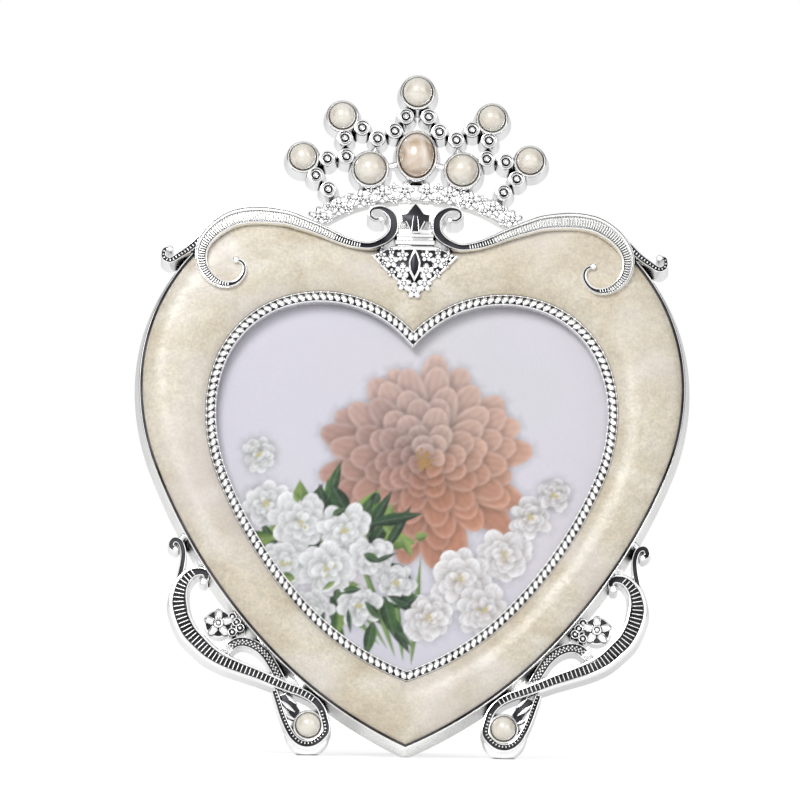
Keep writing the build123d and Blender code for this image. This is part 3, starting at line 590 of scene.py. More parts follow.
# Scrolls over the lobes
SCROLL_TOP, SCROLL_WIDTH = 11.2, 4.5
CHANNEL_DEPTH, GROOVE_DEPTH, TAIL_DROP = 0.8, 0.35, 0.8
NARROW, NARROW_SPAN = 0.6, 0.5
SCROLL_SHARES = (
    (0.126, 0.989), (0.148, 0.987), (0.167, 0.995), (0.160, 1.006), (0.130, 1.009), (0.101, 1.002),
    (0.082, 0.988), (0.082, 0.968), (0.100, 0.954), (0.129, 0.944), (0.164, 0.938), (0.202, 0.939),
    (0.256, 0.946), (0.348, 0.966), (0.423, 0.980), (0.477, 0.988), (0.562, 0.992), (0.624, 0.990),
    (0.679, 0.982), (0.734, 0.963), (0.769, 0.941), (0.783, 0.919), (0.777, 0.894), (0.755, 0.876),
    (0.722, 0.863), (0.682, 0.859), (0.646, 0.866), (0.624, 0.883), (0.628, 0.899), (0.654, 0.907))
SCROLL_WIDTH_SHARES = (
    0.18, 0.22, 0.26, 0.32, 0.38, 0.45, 0.52, 0.56, 0.52, 0.46, 0.43, 0.44, 0.52, 0.68, 0.82, 0.90,
    1.00, 1.00, 0.98, 0.90, 0.78, 0.70, 0.62, 0.55, 0.47, 0.40, 0.33, 0.28, 0.23, 0.18)
TAIL_SHARES = (
    (0.730, 0.972), (0.762, 0.958), (0.794, 0.942), (0.826, 0.927), (0.862, 0.914), (0.896, 0.904),
    (0.919, 0.910), (0.917, 0.923), (0.897, 0.926))
TAIL_WIDTH_SHARES = (0.55, 0.50, 0.46, 0.42, 0.38, 0.34, 0.30, 0.26, 0.22)


def scroll_section(half):
    """Channel with a plain rim below, and a milled rim and a thread above it."""
    top, floor = SCROLL_TOP, SCROLL_TOP - min(CHANNEL_DEPTH, half)
    slim = min(max((half - NARROW) / NARROW_SPAN, 0), 1)
    low, high = min(0.6, (0.9 - 0.6 * slim) * half), min(1.3, (0.6 - 0.1 * slim) * half)
    side = flank(half, top, 0)
    return side + lip(half, low, top, floor) + [
        (half - high, floor), (half - high, top - WALL_DROP), (half - 0.85 * high, top),
        (half - 0.5 * high, top),
        (half - 0.46 * high, top - GROOVE_DEPTH), (half - 0.36 * high, top - GROOVE_DEPTH),
        (half - 0.32 * high, top), (half - 0.1 * high, top)] + mirrored(side)


def scroll_kinds(share):
    """Finishes across the scroll; the channel floor is satin silver, standing for light shade, in the
    ribbed stretch and painted dark shade elsewhere, and the groove of the milled rim is painted dark
    shade along the middle.
    """
    floor = SATIN if 0.33 < share < 0.86 else PAINTED_DARK
    groove = PAINTED_DARK if 0.27 < share < 0.86 else SILVER
    return [SILVER] * 6 + [floor] + [SILVER] * 4 + [groove] * 2 + [SILVER] * 4


def scroll_shape():
    shape = Shape()
    rows = stations(SCROLL_SHARES, SCROLL_WIDTH, SCROLL_WIDTH_SHARES)
    shape.sweep(rows, 0.45, scroll_section, scroll_kinds)
    post(shape, rows[0][:2], 0.75, SCROLL_TOP)
    post(shape, rows[-1][:2], 0.85, SCROLL_TOP)
    ribbed = rows[11:26]
    shape.bars(ribbed, -0.7, 0.42, seat=SCROLL_TOP - 0.75, rise=0.7, pitch=0.66, fill=0.8, kind=SATIN)
    shape.bars(ribbed, 0.5, 0.74, seat=SCROLL_TOP - 0.12, rise=0.22, pitch=0.5, fill=0.6, kind=SATIN)
    tail = stations(TAIL_SHARES, SCROLL_WIDTH, TAIL_WIDTH_SHARES)
    top = SCROLL_TOP - TAIL_DROP
    shape.sweep(tail, 0.45, channel_section(top, 0.5, 0.5, 0.6), CHANNEL_KINDS)
    shape.bars(tail, -0.4, 0.4, seat=top - 0.6, rise=0.6, pitch=0.85, fill=0.75)
    post(shape, tail[-1][:2], 0.8, top)
    return shape


for name, flip in SIDES:
    piece("scroll_band_" + name, scroll_shape(), METAL, ["scroll_" + name], flip,
          SCROLL_TOP + 1)

# Palmette
FIELD_SHARES = ((0.086, 0.938), (0.154, 0.921), (0.100, 0.892), (0.040, 0.866), (0, 0.846))
LEAF_SHARES = (
    (0.012, 0.962), (0.028, 0.985), (0.043, 0.984), (0.044, 0.998), (0.026, 1.000), (0.014, 1.012),
    (0, 1.024))
NECK = ((-4.6, 126.6), (4.6, 126.6), (4.6, 132.0), (-4.6, 132.0))
NECK_BARS = ((127.0, 5.6, 0.55), (128.5, 4.9, 0.7), (130.3, 4.6, 0.5))
DROP = ((0, 119.6), (0.9, 121.4), (1.1, 123.2), (0.6, 124.9), (0, 126.0))
PALMETTE_BLOSSOMS = (
    (2.9, 121.2, 2.2), (5.9, 123.7, 2.1), (8.4, 125.0, 1.4), (2.6, 117.9, 2.1), (3.0, 125.1, 1.7),
    (5.7, 120.6, 1.3), (8.0, 122.9, 1.0), (5.8, 126.4, 1.1))
TIP_BLOSSOM = (0, 116.2)
FIELD_BACK, NECK_BACK, FIELD_TOP, FIELD_THREAD, BAR_TOP = 5.0, 2.5, 10.1, 10.6, 11.0
INLAY_EDGE = 0.15


def both_sides(shares):
    right = [at(*share) for share in shares]
    return right + [(-u, v) for u, v in reversed(right) if u > 0]


def scaled(outline, share):
    outline = np.array(outline)
    middle = outline.mean(axis=0)
    return middle + (outline - middle) * share


def blossom(shape, place, radius, seat, rise=0.8, across=0.38, ground=PAINTED_DARK):
    """Five round petals on a ground, with a ball in the middle; the ground is painted dark shade unless
    another is given.
    """
    disc = [(radius * 0.86, seat - 0.5), (radius * 0.8, seat), (0, seat)]
    shape.lathe(place, disc, [SILVER, ground], turns=20)
    reach = radius * 0.56
    for index in range(5):
        angle = radians(90 + 72 * index)
        spot = (place[0] + reach * cos(angle), place[1] + reach * sin(angle))
        shape.egg(spot, seat - 0.15, radius * 0.44, radius * across, rise, angle)
    shape.egg(place, seat + 0.1, radius * 0.26, radius * 0.26, rise + 0.15, 0)


def palmette_shape():
    shape = Shape()
    field = both_sides(FIELD_SHARES)
    # The front of the field is painted dark shade and reflection round the blossoms.
    shape.plate(field, FIELD_BACK, FIELD_TOP, PAINTED_DARK, 0.3)
    thread = [(*point, 0.7) for point in field[1:-1]]
    shape.sweep(thread, 0.5, round_section(FIELD_THREAD, 9.0, 0.4))
    shape.plate(NECK, NECK_BACK, FIELD_TOP)
    for v, half, radius in NECK_BARS:
        bar = [(u, v, 2 * radius) for u in (-half, 0, half)]
        shape.sweep(bar, 0.6, round_section(BAR_TOP, 8.0))
    leaf = both_sides(LEAF_SHARES)
    shape.plate(scaled(leaf, (1.3, 0.98)), NECK_BACK, 10.6)
    # The leaf inlay is painted dark reflection.
    shape.plate(scaled(leaf, (1.15, 0.84)), 10.4, 11.0, PAINTED_DARK, INLAY_EDGE, PAINTED_DARK)
    for u in (-0.9, 0.9):
        vein = [(u, 131.2, 0.35), (u * 0.8, 133.4, 0.3), (u * 0.5, 135.2, 0.2)]
        shape.sweep(vein, 0.4, round_section(11.25, 10.6, 0.2))
    for u, v, radius in PALMETTE_BLOSSOMS:
        for side in (-1, 1):
            blossom(shape, (side * u, v), radius, 10.3)
    blossom(shape, TIP_BLOSSOM, 2.3, 10.4)
    drop = DROP + tuple((-u, v) for u, v in reversed(DROP[1:-1]))
    shape.plate(scaled(drop, 1.4), 9.8, 10.9)
    # The drop inlay is painted dark reflection.
    shape.plate(drop, 10.8, 11.1, PAINTED_DARK, INLAY_EDGE, PAINTED_DARK)
    return shape


piece("palmette_relief", palmette_shape(), METAL, ["palmette"])

# Crown
CROWN_TOP = 6.4
SETTING_WALL, LINK_WIDTH, LINK_TOP = 0.9, 1.6, 3.0
ARC_WIDTH, ARC_TOP, ARC_SEAT = 4.0, 4.8, 4.9
TOP_PEARL = (0, 1.238)
OVAL = (0, 1.118)
TIPS = ((0.275, 1.190), (0.417, 1.111))
SIDE_PEARL = (0.170, 1.091)
BEADS = (
    (0.042, 1.192), (0.082, 1.164), (0.145, 1.149), (0.202, 1.169), (0.265, 1.149), (0.258, 1.114),
    (0.328, 1.109), (0.369, 1.077), (0.322, 1.051))
BAND = ((-0.357, 1.000), (-0.204, 1.037), (0, 1.050), (0.204, 1.037), (0.357, 1.000))
BAND_FLOWERS = ((0.040, 1.051), (0.124, 1.046), (0.204, 1.036), (0.283, 1.021), (0.357, 1.001))
LINKS = (
    (TOP_PEARL, BEADS[0]), (BEADS[0], BEADS[1]), (BEADS[1], OVAL), (BEADS[1], BEADS[2]),
    (BEADS[2], BEADS[3]), (BEADS[3], TIPS[0]), (TIPS[0], BEADS[4]), (BEADS[4], BEADS[5]),
    (BEADS[2], SIDE_PEARL), (BEADS[5], SIDE_PEARL), (BEADS[5], BEADS[6]), (BEADS[6], TIPS[1]),
    (TIPS[1], BEADS[7]), (BEADS[7], BEADS[8]), (BEADS[8], BAND_FLOWERS[3]), (SIDE_PEARL, OVAL),
    (SIDE_PEARL, BAND_FLOWERS[2]), (OVAL, BAND_FLOWERS[0]))
SMALL_BLOSSOMS = (
    (0.082, 1.058), (0.165, 1.050), (0.245, 1.037), (0.322, 1.020), (0.082, 1.037), (0.165, 1.030),
    (0.245, 1.016), (0.322, 0.997))
CUPS = ((TOP_PEARL, 3.6), (SIDE_PEARL, 3.9), (TIPS[0], 3.25), (TIPS[1], 3.25))
OVAL_CUP, OVAL_EXTRA = 4.4, 1.2
BALL_RADIUS = 0.74
BEAD_PROFILE = (
    (2.75, 0.15), (2.15, 5.4), (2.1, 6.0), (1.95, 6.35), (1.72, 6.4), (1.62, 6.1), (1.60, 5.7),
    (1.38, 5.7), (1.36, 6.15), (1.2, 6.3), (1.06, 6.15), (1.04, 5.6), (BALL_RADIUS, 5.6))
# The floor round each ball is painted dark shade and reflection.
BEAD_KINDS = [SILVER] * 6 + [SATIN] + [SILVER] * 4 + [PAINTED_DARK] + [SILVER] * 5


def both(place):
    u, v = place
    return [(u, v), (-u, v)] if u > 0 else [(u, v)]


def spread(shares):
    """Places on both sides."""
    return [place for share in shares for place in both(at(*share))]


def setting_profile(radius, top):
    """Cup with a rounded lip round a pearl."""
    outer = radius + SETTING_WALL
    return [(outer + 0.7, 0.02), (outer + 0.08, top - 1.0), (outer, top - 0.45),
            (outer - 0.2, top - 0.1), (outer - 0.45, top), (radius + 0.2, top - 0.12),
            (radius - 0.02, top - 0.5), (radius - 0.05, top - 1.8)]


def crown_shape():
    shape = Shape()
    for share, radius in CUPS:
        for place in spread([share]):
            shape.lathe(place, setting_profile(radius, CROWN_TOP), turns=36)
    u, v = at(*OVAL)
    rows = []
    for turn in full_turn(48):
        rows.append([(u + radius * cos(turn), v + (radius + OVAL_EXTRA) * sin(turn), w)
                     for radius, w in setting_profile(OVAL_CUP, CROWN_TOP)])
    shape.grid(rows, SILVER, loop_rows=True)
    shape.face([row[0] for row in rows], SATIN)
    ball = [(BALL_RADIUS * cos(turn), CROWN_TOP - 0.3 + 0.9 * sin(turn))
            for turn in np.linspace(0, pi / 2, 5)]
    for place in spread(BEADS):
        shape.lathe(place, [*BEAD_PROFILE, *ball], BEAD_KINDS)
    for pair in LINKS:
        for side in (-1, 1):
            ends = [(side * u, v, width) for u, v, width in stations(pair, LINK_WIDTH)]
            shape.sweep(ends, 1.5, round_section(LINK_TOP, 0.45))
    arc = stations(BAND, ARC_WIDTH)
    shape.sweep(arc, 0.8, round_section(ARC_TOP, 0.3, 0.5), SATIN)
    for place in spread(BAND_FLOWERS):
        blossom(shape, place, 2.7, ARC_SEAT, rise=1.0, across=0.32, ground=SATIN)
    for place in spread(SMALL_BLOSSOMS):
        blossom(shape, place, 1.35, ARC_SEAT, rise=0.7, ground=SATIN)
    return shape


piece("crown_settings", crown_shape(), METAL, ["crown_casting"])

# Oval cabochon: a smooth dome on a short skirt
DOME_WIDE, DOME_TALL, DOME_RISE, DOME_BACK = 4.34, 5.54, 4.0, 4.7
cabochon = Shape()
oval_u, oval_v = at(*OVAL)
skirt = [[(oval_u + DOME_WIDE * cos(turn), oval_v + DOME_TALL * sin(turn), w)
          for w in (DOME_BACK, CROWN_TOP)] for turn in full_turn(48)]
cabochon.grid(skirt, loop_rows=True)
cabochon.egg((oval_u, oval_v), CROWN_TOP, DOME_TALL, DOME_WIDE, DOME_RISE, pi / 2,
             rings=14, turns=48)
piece("oval_dome", cabochon, [warm_pearl], ["crown_oval_cabochon"], crease=80)

# Foot scrolls
FOOT_TOP, FOOT_WIDTH = 6.6, 5.0
HOOK_WIDTH, EYE_WIDTH, LUG_WIDTH, HEEL_WIDTH = 1.5, 2.6, 5.0, 3.1
HEEL_DROP = -0.553
FOOT_SHARES = (
    (0.748, 0.307), (0.738, 0.316), (0.753, 0.325), (0.789, 0.323), (0.821, 0.307), (0.836, 0.288),
    (0.839, 0.266), (0.827, 0.240), (0.801, 0.213), (0.767, 0.194), (0.722, 0.173), (0.671, 0.158),
    (0.611, 0.146), (0.545, 0.134), (0.482, 0.121), (0.426, 0.110), (0.379, 0.101), (0.341, 0.090),
    (0.313, 0.074), (0.295, 0.055))
FOOT_WIDTH_SHARES = (
    0.25, 0.32, 0.42, 0.58, 0.75, 0.88, 1.00, 1.00, 1.00, 0.98, 0.92, 0.84, 0.76, 0.68, 0.60, 0.52,
    0.48, 0.46, 0.45, 0.44)
CURL_SHARES = (
    (0.305, 0.068), (0.290, 0.036), (0.306, 0.020), (0.338, 0.008), (0.375, 0.007), (0.408, 0.018),
    (0.432, 0.037), (0.451, 0.059), (0.466, 0.081), (0.482, 0.105))
CURL_WIDTH_SHARES = (0.42, 0.43, 0.42, 0.41, 0.40, 0.38, 0.36, 0.34, 0.32, 0.30)
HOOK_SHARES = (
    (0.854, 0.366), (0.870, 0.372), (0.861, 0.383), (0.838, 0.380), (0.825, 0.362), (0.827, 0.340),
    (0.838, 0.312))
EYE_SHARES = (
    (0.672, 0.172), (0.646, 0.186), (0.622, 0.194), (0.590, 0.195), (0.553, 0.188), (0.517, 0.173),
    (0.490, 0.153), (0.462, 0.128))
LUG_SHARES = (((0.405, 0.105), (0.385, 0.165)), ((0.778, 0.320), (0.690, 0.375)))
HOOK_LINK = ((0.838, 0.385), (0.815, 0.398))
HEEL_SHARES = (
    (0.290, 0.036), (0.306, 0.020), (0.338, 0.008), (0.375, 0.007), (0.408, 0.018), (0.432, 0.037))
HEEL_WIDTH_SHARES = (0.55, 0.85, 1.00, 1.00, 0.85, 0.55)
FOOT_PEARL = (0.356, 0.041)
FOOT_FLOWER = (0.691, 0.230)
BERRIES = ((0.625, 0.233), (0.640, 0.214), (0.640, 0.243), (0.612, 0.222))
FAN_SHARES = ((0.432, 0.068), (0.400, 0.045), (0.385, 0.068), (0.432, 0.104), (0.462, 0.098))
FAN_FOLDS = (
    ((0.445, 0.062), (0.400, 0.050), 1.0), ((0.462, 0.088), (0.405, 0.066), 1.2),
    ((0.440, 0.098), (0.398, 0.080), 1.0))
FOOT_LEAF_SHARES = ((0.672, 0.200), (0.690, 0.172), (0.660, 0.165), (0.635, 0.182))
EYE_SEEDS, EYE_STEP = 20, 0.35
FLOWER_SEAT, BERRY_SEAT = 5.2, 5.3


def eye_band(shape, top):
    """Channel, its floor painted dark shade, with rows of seeds."""
    eye = stations(EYE_SHARES, EYE_WIDTH)
    shape.sweep(eye, EYE_STEP, channel_section(top - 0.5, 0.35, 0.35, 0.5, 0.4), CHANNEL_KINDS)
    seeds = even(smooth_line(eye, EYE_STEP), EYE_SEEDS)
    for (u, v, width), (du, dv) in zip(seeds, directions(seeds)):
        for across, onward in ((-0.44, 0), (0.44, 0), (0, 0.42)):
            spot = (u - dv * across + du * onward, v + du * across + dv * onward)
            shape.egg(spot, top - 1.05, 0.34, 0.34, 0.6, 0, SATIN, rings=3, turns=8)


def foot_flower(shape):
    place = at(*FOOT_FLOWER)
    # The disc under the petals and the floors of the cups are painted dark shade.
    shape.lathe(place, [(3.6, 0.5), (3.5, 4.9), (3.2, 5.1), (0, 5.1)], [SILVER, SILVER, PAINTED_DARK], turns=30)
    blossom(shape, place, 3.9, FLOWER_SEAT, rise=1.2, across=0.30)
    cup_kinds = [SILVER] * 3 + [PAINTED_DARK] * 2
    shape.lathe(place, [(1.3, 5.6), (1.25, 6.5), (1.0, 6.7), (0.8, 6.5), (0.7, 6.3), (0, 6.3)],
                cup_kinds, turns=20)
    for share in BERRIES:
        spot = at(*share)
        shape.lathe(spot, [(1.5, 0.6), (1.3, 5.2), (1.1, 5.6), (0.9, 5.5), (0.8, 5.3), (0, 5.3)],
                    cup_kinds, turns=16)
        shape.egg(spot, BERRY_SEAT, 0.5, 0.5, 0.6, 0)


def foot_shape():
    shape = Shape()
    top = FOOT_TOP
    rows = stations(FOOT_SHARES, FOOT_WIDTH, FOOT_WIDTH_SHARES)
    shape.sweep(rows, 0.45, channel_section(top, 1.0, 0.75, 0.9), CHANNEL_KINDS)
    shape.bars(rows[3:18], -0.66, 0.6, seat=top - 0.9, rise=0.88, pitch=1.08, kind=SATIN)
    post(shape, rows[0][:2], 1.0, top)
    curl = stations(CURL_SHARES, FOOT_WIDTH, CURL_WIDTH_SHARES)
    shape.sweep(curl, 0.4, channel_section(top, 0.45, 0.7, 0.7, 0.2), CHANNEL_KINDS)
    shape.bars(curl, -0.1, 0.45, seat=top - 0.7, rise=0.7, pitch=0.9, fill=0.6, kind=SATIN)
    hook = stations(HOOK_SHARES, HOOK_WIDTH)
    shape.sweep(hook, 0.4, channel_section(top, 0.4, 0.4, 0.5, 0.3), CHANNEL_KINDS)
    post(shape, hook[0][:2], 0.75, top)
    shape.sweep(stations(HOOK_LINK, HOOK_WIDTH), 0.5, round_section(top - 0.8, 0.5))
    heel = stations(HEEL_SHARES, HEEL_WIDTH, HEEL_WIDTH_SHARES)
    heel = [(u, v + HEEL_DROP, width) for u, v, width in heel]
    shape.sweep(heel, 0.5, round_section(4.2, 0, 0.8))
    eye_band(shape, top)
    shape.lathe(at(*FOOT_PEARL), [(4.6, 0.3)] + setting_profile(3.0, top)[1:], turns=36)
    foot_flower(shape)
    # The fan's plate, between the folds, is painted dark shade.
    shape.plate([at(*share) for share in FAN_SHARES], 0.7, top - 0.8, PAINTED_DARK)
    for first, second, width in FAN_FOLDS:
        middle = (np.array(first) + second) / 2
        fold = [(*at(*first), 0.4), (*at(*middle), width), (*at(*second), 0.4)]
        shape.sweep(fold, 0.4, round_section(top - 0.2, top - 1.6))
    shape.plate([at(*share) for share in FOOT_LEAF_SHARES], 0.6, top - 0.8)
    for ends in LUG_SHARES:
        shape.sweep(stations(ends, LUG_WIDTH), 0.8, lug_section)
    return shape


for name, flip in SIDES:
    piece("foot_band_" + name, foot_shape(), METAL, ["foot_scroll_" + name], flip,
          TRAY_FLOOR - 0.2)


# Cross slots in the screw heads, as places with the height of the back of the head; each slot is a thin
# cross in painted dark shade
SLOT_REACH, SLOT_DEPTH, SLOT_PROUD = 0.85, 0.3, 0.04
SCREW_HEADS = [(at(0.715, 0.864), 2.5), (at(0.352, 0.956), 2.5), (at(0, 0.892), 2.5),
               (at(0.036, 1.045), -0.9), ((45.296, 112.263), -2.3), ((43.082, 48.210), -2.3)]
SCREW_HEADS += [(at(*ends[1]), 0.5) for ends in LUG_SHARES]

crosses = Shape()
for index, (place, level) in enumerate(SCREW_HEADS):
    section = round_section(level + SLOT_DEPTH, level - SLOT_PROUD, 0.1)
    for u, v in both(place):
        for turn in (0.3 + index, 0.3 + index + pi / 2):
            du, dv = SLOT_REACH * cos(turn), SLOT_REACH * sin(turn)
            slot = [(u - du, v - dv, 0.32), (u, v, 0.42), (u + du, v + dv, 0.32)]
            crosses.sweep(slot, 0.2, section, PAINTED_DARK)
piece("screw_slots", crosses, METAL)


# Print behind the glass: a blush dahlia and white blossoms with leaves on a lavender grey ground
GROUND, GROUND_FADE = (0.70, 0.68, 0.76), (0.03, 0.02, 0.0)
HAZE = ((0.86, 0.72, 0.70), (0.80, 0.80, 0.86), (0.66, 0.72, 0.66))
GREENS = (((0.006, 0.02, 0.01), (0.06, 0.14, 0.04)), ((0.004, 0.014, 0.008), (0.03, 0.08, 0.03)),
          ((0.06, 0.13, 0.03), (0.30, 0.42, 0.12)))
BLADE_GREENS = ((0.08, 0.16, 0.04), (0.24, 0.36, 0.12))
BLUSH, RUST, PLUM = (0.76, 0.57, 0.50), (0.56, 0.22, 0.11), (0.28, 0.13, 0.13)
SAGE, PEACH, WHITE = (0.55, 0.60, 0.56), (0.72, 0.46, 0.38), (0.88, 0.87, 0.90)
STAMEN, POLLEN = (0.42, 0.24, 0.10), (0.56, 0.50, 0.26)
DAHLIA, DAHLIA_RADIUS = (4, 74), 25
# Rings of petals: how many, and their reach as a share of the radius
DAHLIA_RINGS = (
    (17, 1.0), (16, 0.88), (14, 0.75), (12, 0.62), (10, 0.50), (9, 0.38), (7, 0.27), (5, 0.17))
BLOOM_RINGS = ((9, 1.0), (8, 0.78), (7, 0.56), (5, 0.36))
# Blades as u, v, heading and length; blooms as u, v and radius
BLADES = (
    (-3, 24, 110, 34), (-1, 23, 98, 30), (-5, 26, 122, 38), (1, 22, 86, 28), (-7, 27, 132, 36))
BLOOMS = (
    (-36, 62, 6.5), (-27, 58, 8), (-16, 56, 7), (-31, 47, 7), (-20, 46, 7.5), (-9, 49, 6), (-24, 35, 6),
    (-12, 37, 5.5), (-38, 75, 4.5), (24, 50, 7.5), (13, 44, 8), (30, 60, 5.5), (5, 34, 6.5), (19, 36, 7),
    (36, 66, 4.5), (-3, 43, 5))
PRINT_LEVEL, PRINT_LAP, PRINT_STEP = 3.36, 3.2, 0.33


def soft(edge, width):
    return np.clip(edge / width + 0.5, 0, 1)


def between(first, second, share):
    return np.asarray(first) * (1 - share) + np.asarray(second) * share


class Painting:
    """Colours on a grid of points."""

    def __init__(self, u, v, colours):
        self.u, self.v, self.colours = u, v, colours

    def lay(self, mask, colour):
        self.colours = between(self.colours, colour, mask[..., None])

    def local(self, place, angle):
        du, dv = self.u - place[0], self.v - place[1]
        return du * cos(angle) + dv * sin(angle), dv * cos(angle) - du * sin(angle)

    def dot(self, place, radius, blur, colour, strength=1.0):
        gap = radius - np.hypot(self.u - place[0], self.v - place[1])
        self.lay(soft(gap, blur) * strength, colour)

    def petal(self, place, angle, length, width, base, tip, blur, shadow):
        """Rounded petal that starts at place and grows along angle."""
        x, y = self.local(place, angle)
        share = np.clip(x / length, 0, 1)
        swell = np.sqrt(np.clip(share * (1.9 - 0.9 * share), 0, 1))
        half = width / 2 * swell * np.sqrt(np.clip(1.02 - share ** 4, 0, 1))
        edge = np.minimum(half - np.abs(y), np.minimum(x, length - x))
        around = soft(edge + 0.9, 2.2) * shadow
        self.colours *= 1 - around[..., None]
        tone = share[..., None] ** 0.8
        streaks = 0.04 * np.sin(y * 5 / max(width, 1) * 6 + x * 0.3)[..., None]
        rim = 0.08 * soft(0.8 - edge, 1.2)[..., None]
        body = between(base, tip, tone)
        self.lay(soft(edge, blur), body * (1 + streaks) + rim)

    def leaf(self, place, angle, length, width, dark, light):
        x, y = self.local(place, angle)
        share = np.clip(x / length, 0, 1)
        half = width / 2 * np.sin(pi * share ** 0.8)
        edge = np.minimum(half - np.abs(y), np.minimum(x, length - x))
        vein = np.exp(-(y / 0.25) ** 2) + 0.35 * (np.sin((x - np.abs(y) * 0.8) * 2.2) > 0.8)
        tone = np.clip(0.5 + y / max(width, 0.1), 0, 1)[..., None]
        body = between(dark, light, tone)
        self.lay(soft(edge, 0.4), body + 0.05 * vein[..., None])


def paint_dahlia(art, draw):
    middle = np.array(DAHLIA)
    for ring, (count, share) in enumerate(DAHLIA_RINGS):
        reach = DAHLIA_RADIUS * share
        for index in range(count):
            angle = tau * (index + 0.5 * ring + draw.uniform(-0.25, 0.25)) / count
            low, left = 0.5 - 0.5 * sin(angle - 0.3), 0.5 - 0.5 * cos(angle)
            tip = between(BLUSH, RUST, 0.8 * low)
            tip = between(tip, PLUM, 0.45 * left)
            shade = draw.uniform(0.86, 1.06) - 0.02 * ring
            place = middle + 0.12 * reach * np.array((cos(angle), sin(angle)))
            heading = angle + draw.uniform(-0.08, 0.08)
            length, width = reach * draw.uniform(0.86, 1.0), reach * 6.4 / count
            art.petal(place, heading, length, width, tip * 0.45 * shade, tip * shade, 0.7, 0.22)
    for _ in range(40):
        art.dot(middle + draw.normal(0, 1.2, 2), 0.4, 0.4, STAMEN)


def paint_leaves(art, draw):
    for u, v, turn, length in BLADES:
        art.leaf((u, v), radians(turn), length, 1.7, *BLADE_GREENS)
    for _ in range(64):
        angle = draw.uniform(0, tau)
        reach = 17 * sqrt(draw.uniform(0, 1))
        place = (-19 + 1.1 * reach * cos(angle), 46 + reach * sin(angle))
        heading = angle + draw.uniform(-0.9, 0.9)
        length, width = draw.uniform(7, 14), draw.uniform(2.5, 5.5)
        art.leaf(place, heading, length, width, *GREENS[draw.integers(3)])


def paint_blooms(art, draw):
    for u, v, radius in BLOOMS:
        blush = 0.5 if u > 0 else 0.0
        base = between(SAGE, PEACH, blush)
        for ring, (count, share) in enumerate(BLOOM_RINGS):
            reach = radius * share
            for index in range(count):
                angle = tau * (index + 0.5 * ring + draw.uniform(-0.4, 0.4)) / count
                shade = draw.uniform(0.86, 1.04)
                length, width = reach * draw.uniform(0.8, 1.1), reach * draw.uniform(0.6, 0.85)
                art.petal((u, v), angle, length, width, base * shade, np.array(WHITE) * shade, 0.5, 0.14)
        for _ in range(6):
            art.dot(np.array((u, v)) + draw.normal(0, radius * 0.08, 2), 0.35, 0.3, POLLEN)


def paint(u, v):
    fade = ((u + v * 0.4) / 120)[..., None]
    art = Painting(u, v, GROUND + fade * GROUND_FADE)
    draw = np.random.default_rng(7)
    for _ in range(16):
        place = (draw.uniform(-45, 45), draw.uniform(20, 110))
        radius = draw.uniform(6, 14)
        art.dot(place, radius, 6, draw.choice(HAZE), 0.10)
    paint_dahlia(art, draw)
    paint_leaves(art, draw)
    paint_blooms(art, draw)
    for _ in range(18):
        angle, place = draw.uniform(0, tau), (draw.uniform(-36, 2), draw.uniform(30, 66))
        length, width = draw.uniform(3, 7), draw.uniform(1.2, 2.6)
        art.leaf(place, angle, length, width, *GREENS[draw.integers(3)])
    return np.clip(art.colours, 0, 1)


def make_print():
    """Fine grid of faces inside the heart, with the painted colours on its points."""
    loop = heart_loop(WINDOW, PRINT_LAP)
    u, v = np.meshgrid(np.arange(-54, 54.01, PRINT_STEP), np.arange(14, 120, PRINT_STEP))
    kept = inside(np.column_stack((u.ravel(), v.ravel())), loop).reshape(u.shape)
    index = -np.ones(u.shape, int)
    index[kept] = np.arange(kept.sum())
    colours = paint(u, v)[kept]
    whole = kept[:-1, :-1] & kept[1:, :-1] & kept[:-1, 1:] & kept[1:, 1:]
    corners = (index[:-1, :-1], index[:-1, 1:], index[1:, 1:], index[1:, :-1])
    faces = np.column_stack([corner[whole] for corner in corners])
    shape = Shape()
    shape.points = [(a, b, PRINT_LEVEL) for a, b in zip(u[kept], v[kept])]
    shape.faces = faces.tolist()
    shape.kinds = [0] * len(faces)
    finish, tree, shader = new_finish("photo_paper", Roughness=0.5, Specular_IOR_Level=0.2)
    picked = tree.nodes.new("ShaderNodeAttribute")
    picked.attribute_name = "ink"
    grain = ramp(tree, noise(tree, 0.4, 2), (0.3, 0.97), (0.7, 1.03))
    inked = blended(tree, "MULTIPLY", picked.outputs["Color"], grain)
    tree.links.new(inked, shader.inputs["Base Color"])
    made = piece("floral_print", shape, [finish], ["photo_print"])
    ink = made.data.attributes.new("ink", "FLOAT_COLOR", "POINT")
    ink.data.foreach_set("color", np.column_stack((colours, np.ones(len(colours)))).ravel())


make_print()


# Studio
AIM = (0, 0, 0.08)
SKY_STRENGTH = 0.40
CAMERA_GLOW, GLOSSY_GLOW = 0.64, 0.32
FLOOR_REACH, FLOOR_LEVEL = 14.0, -0.0002
CAMERA_PLACE = (-0.0030, -4.010, 0.0890)
CAMERA_DISTANCE, CAMERA_LENS, CAMERA_REACH = 4.0, 720, 30
CAMERA_ROLL = radians(1.1)


def area_light(name, place, size, power):
    data = bpy.data.lights.new(name, "AREA")
    data.size, data.energy = size, power
    made = placed(name, data)
    made.location = place
    made.rotation_euler = (Vector(AIM) - Vector(place)).to_track_quat("-Z", "Y").to_euler()


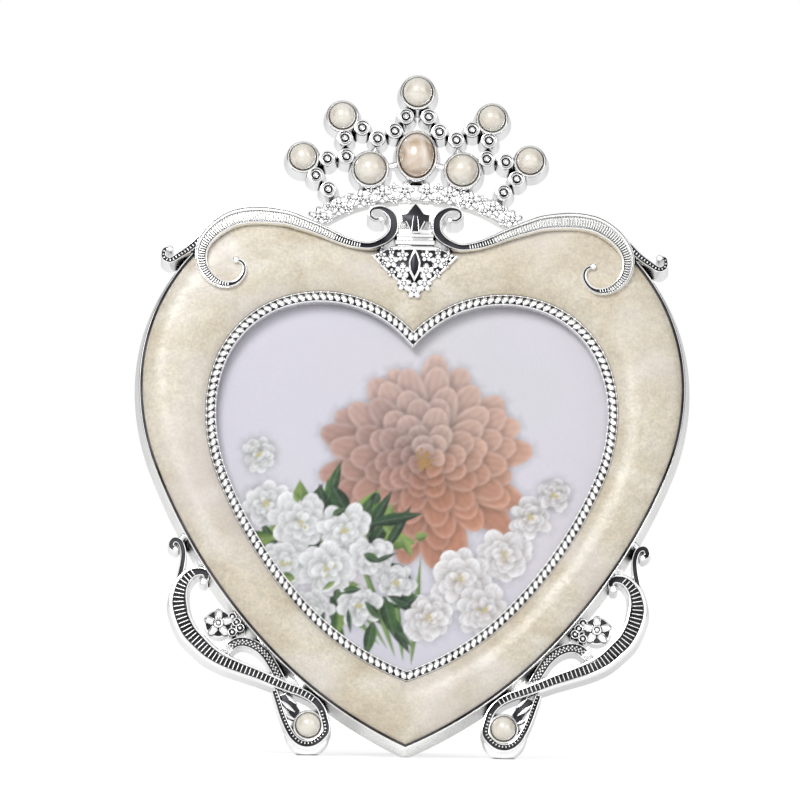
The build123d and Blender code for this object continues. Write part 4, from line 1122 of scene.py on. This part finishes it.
def make_world():
    """Plain soft light; the camera sees white, reflections see a white room with a dark ring."""
    world = bpy.data.worlds.new("studio")
    bpy.context.scene.world = world
    world.use_nodes = True
    tree = world.node_tree
    tree.nodes.clear()
    output = tree.nodes.new("ShaderNodeOutputWorld")
    path = tree.nodes.new("ShaderNodeLightPath")
    camera = path.outputs["Is Camera Ray"]
    seen = reckoned(tree, "MAXIMUM", path.outputs["Is Glossy Ray"], path.outputs["Is Transmission Ray"])
    shown = reckoned(tree, "MAXIMUM", camera, seen)
    light = new_node(tree, "ShaderNodeBackground", Color=(1, 1, 1, 1), Strength=SKY_STRENGTH)
    room = tree.nodes.new("ShaderNodeBackground")
    mixed = tree.nodes.new("ShaderNodeMixShader")
    feed(tree, mixed.inputs, (shown, light.outputs[0], room.outputs[0]))
    tree.links.new(mixed.outputs[0], output.inputs["Surface"])
    where = tree.nodes.new("ShaderNodeTexCoord")
    parts = tree.nodes.new("ShaderNodeSeparateXYZ")
    tree.links.new(where.outputs["Generated"], parts.inputs[0])
    depth = reckoned(tree, "MULTIPLY_ADD", parts.outputs["Y"], 0.5, 0.5)
    walls = ramp(tree, depth, (0.26, 1.0), (0.38, 0.04), (0.60, 0.04), (0.72, 0.72))
    ceiling = ramp(tree, parts.outputs["Z"], (0.60, 0.0), (0.90, 0.7))
    walls = blended(tree, "LIGHTEN", walls, ceiling)
    tree.links.new(blended(tree, "LIGHTEN", walls, camera), room.inputs["Color"])


def make_floor():
    mesh = bpy.data.meshes.new("floor")
    corners = [(x * FLOOR_REACH, y * FLOOR_REACH, 0) for x, y in ((-1, -1), (1, -1), (1, 1), (-1, 1))]
    mesh.from_pydata(corners, [], [(0, 1, 2, 3)])
    floor = placed("floor", mesh)
    floor.location.z = FLOOR_LEVEL
    finish, tree, shader = new_finish("floor_paper", Base_Color=(0.95, 0.95, 0.95, 1), Roughness=0.9,
                                      Specular_IOR_Level=0.1, Emission_Color=(1, 1, 1, 1))
    path = tree.nodes.new("ShaderNodeLightPath")
    glow = 0
    for ray, strength in (("Is Camera Ray", CAMERA_GLOW), ("Is Glossy Ray", GLOSSY_GLOW)):
        glow = reckoned(tree, "MULTIPLY_ADD", path.outputs[ray], strength, glow)
    tree.links.new(glow, shader.inputs["Emission Strength"])
    mesh.materials.append(finish)


def make_camera():
    data = bpy.data.cameras.new("camera")
    data.lens = CAMERA_LENS
    data.clip_end = CAMERA_REACH
    camera = placed("camera", data)
    turn = Vector((0, CAMERA_DISTANCE, 0)).to_track_quat("-Z", "Y").to_matrix().to_4x4()
    camera.matrix_world = Matrix.Translation(CAMERA_PLACE) @ turn @ Matrix.Rotation(CAMERA_ROLL, 4, "Z")
    bpy.context.scene.camera = camera


area_light("key", (-0.35, -1.0, 0.78), size=0.5, power=7.5)
area_light("fill", (0.9, -0.9, 0.55), size=0.8, power=1.5)
make_world()
make_floor()
make_camera()
bpy.context.scene.view_settings.view_transform = "Standard"
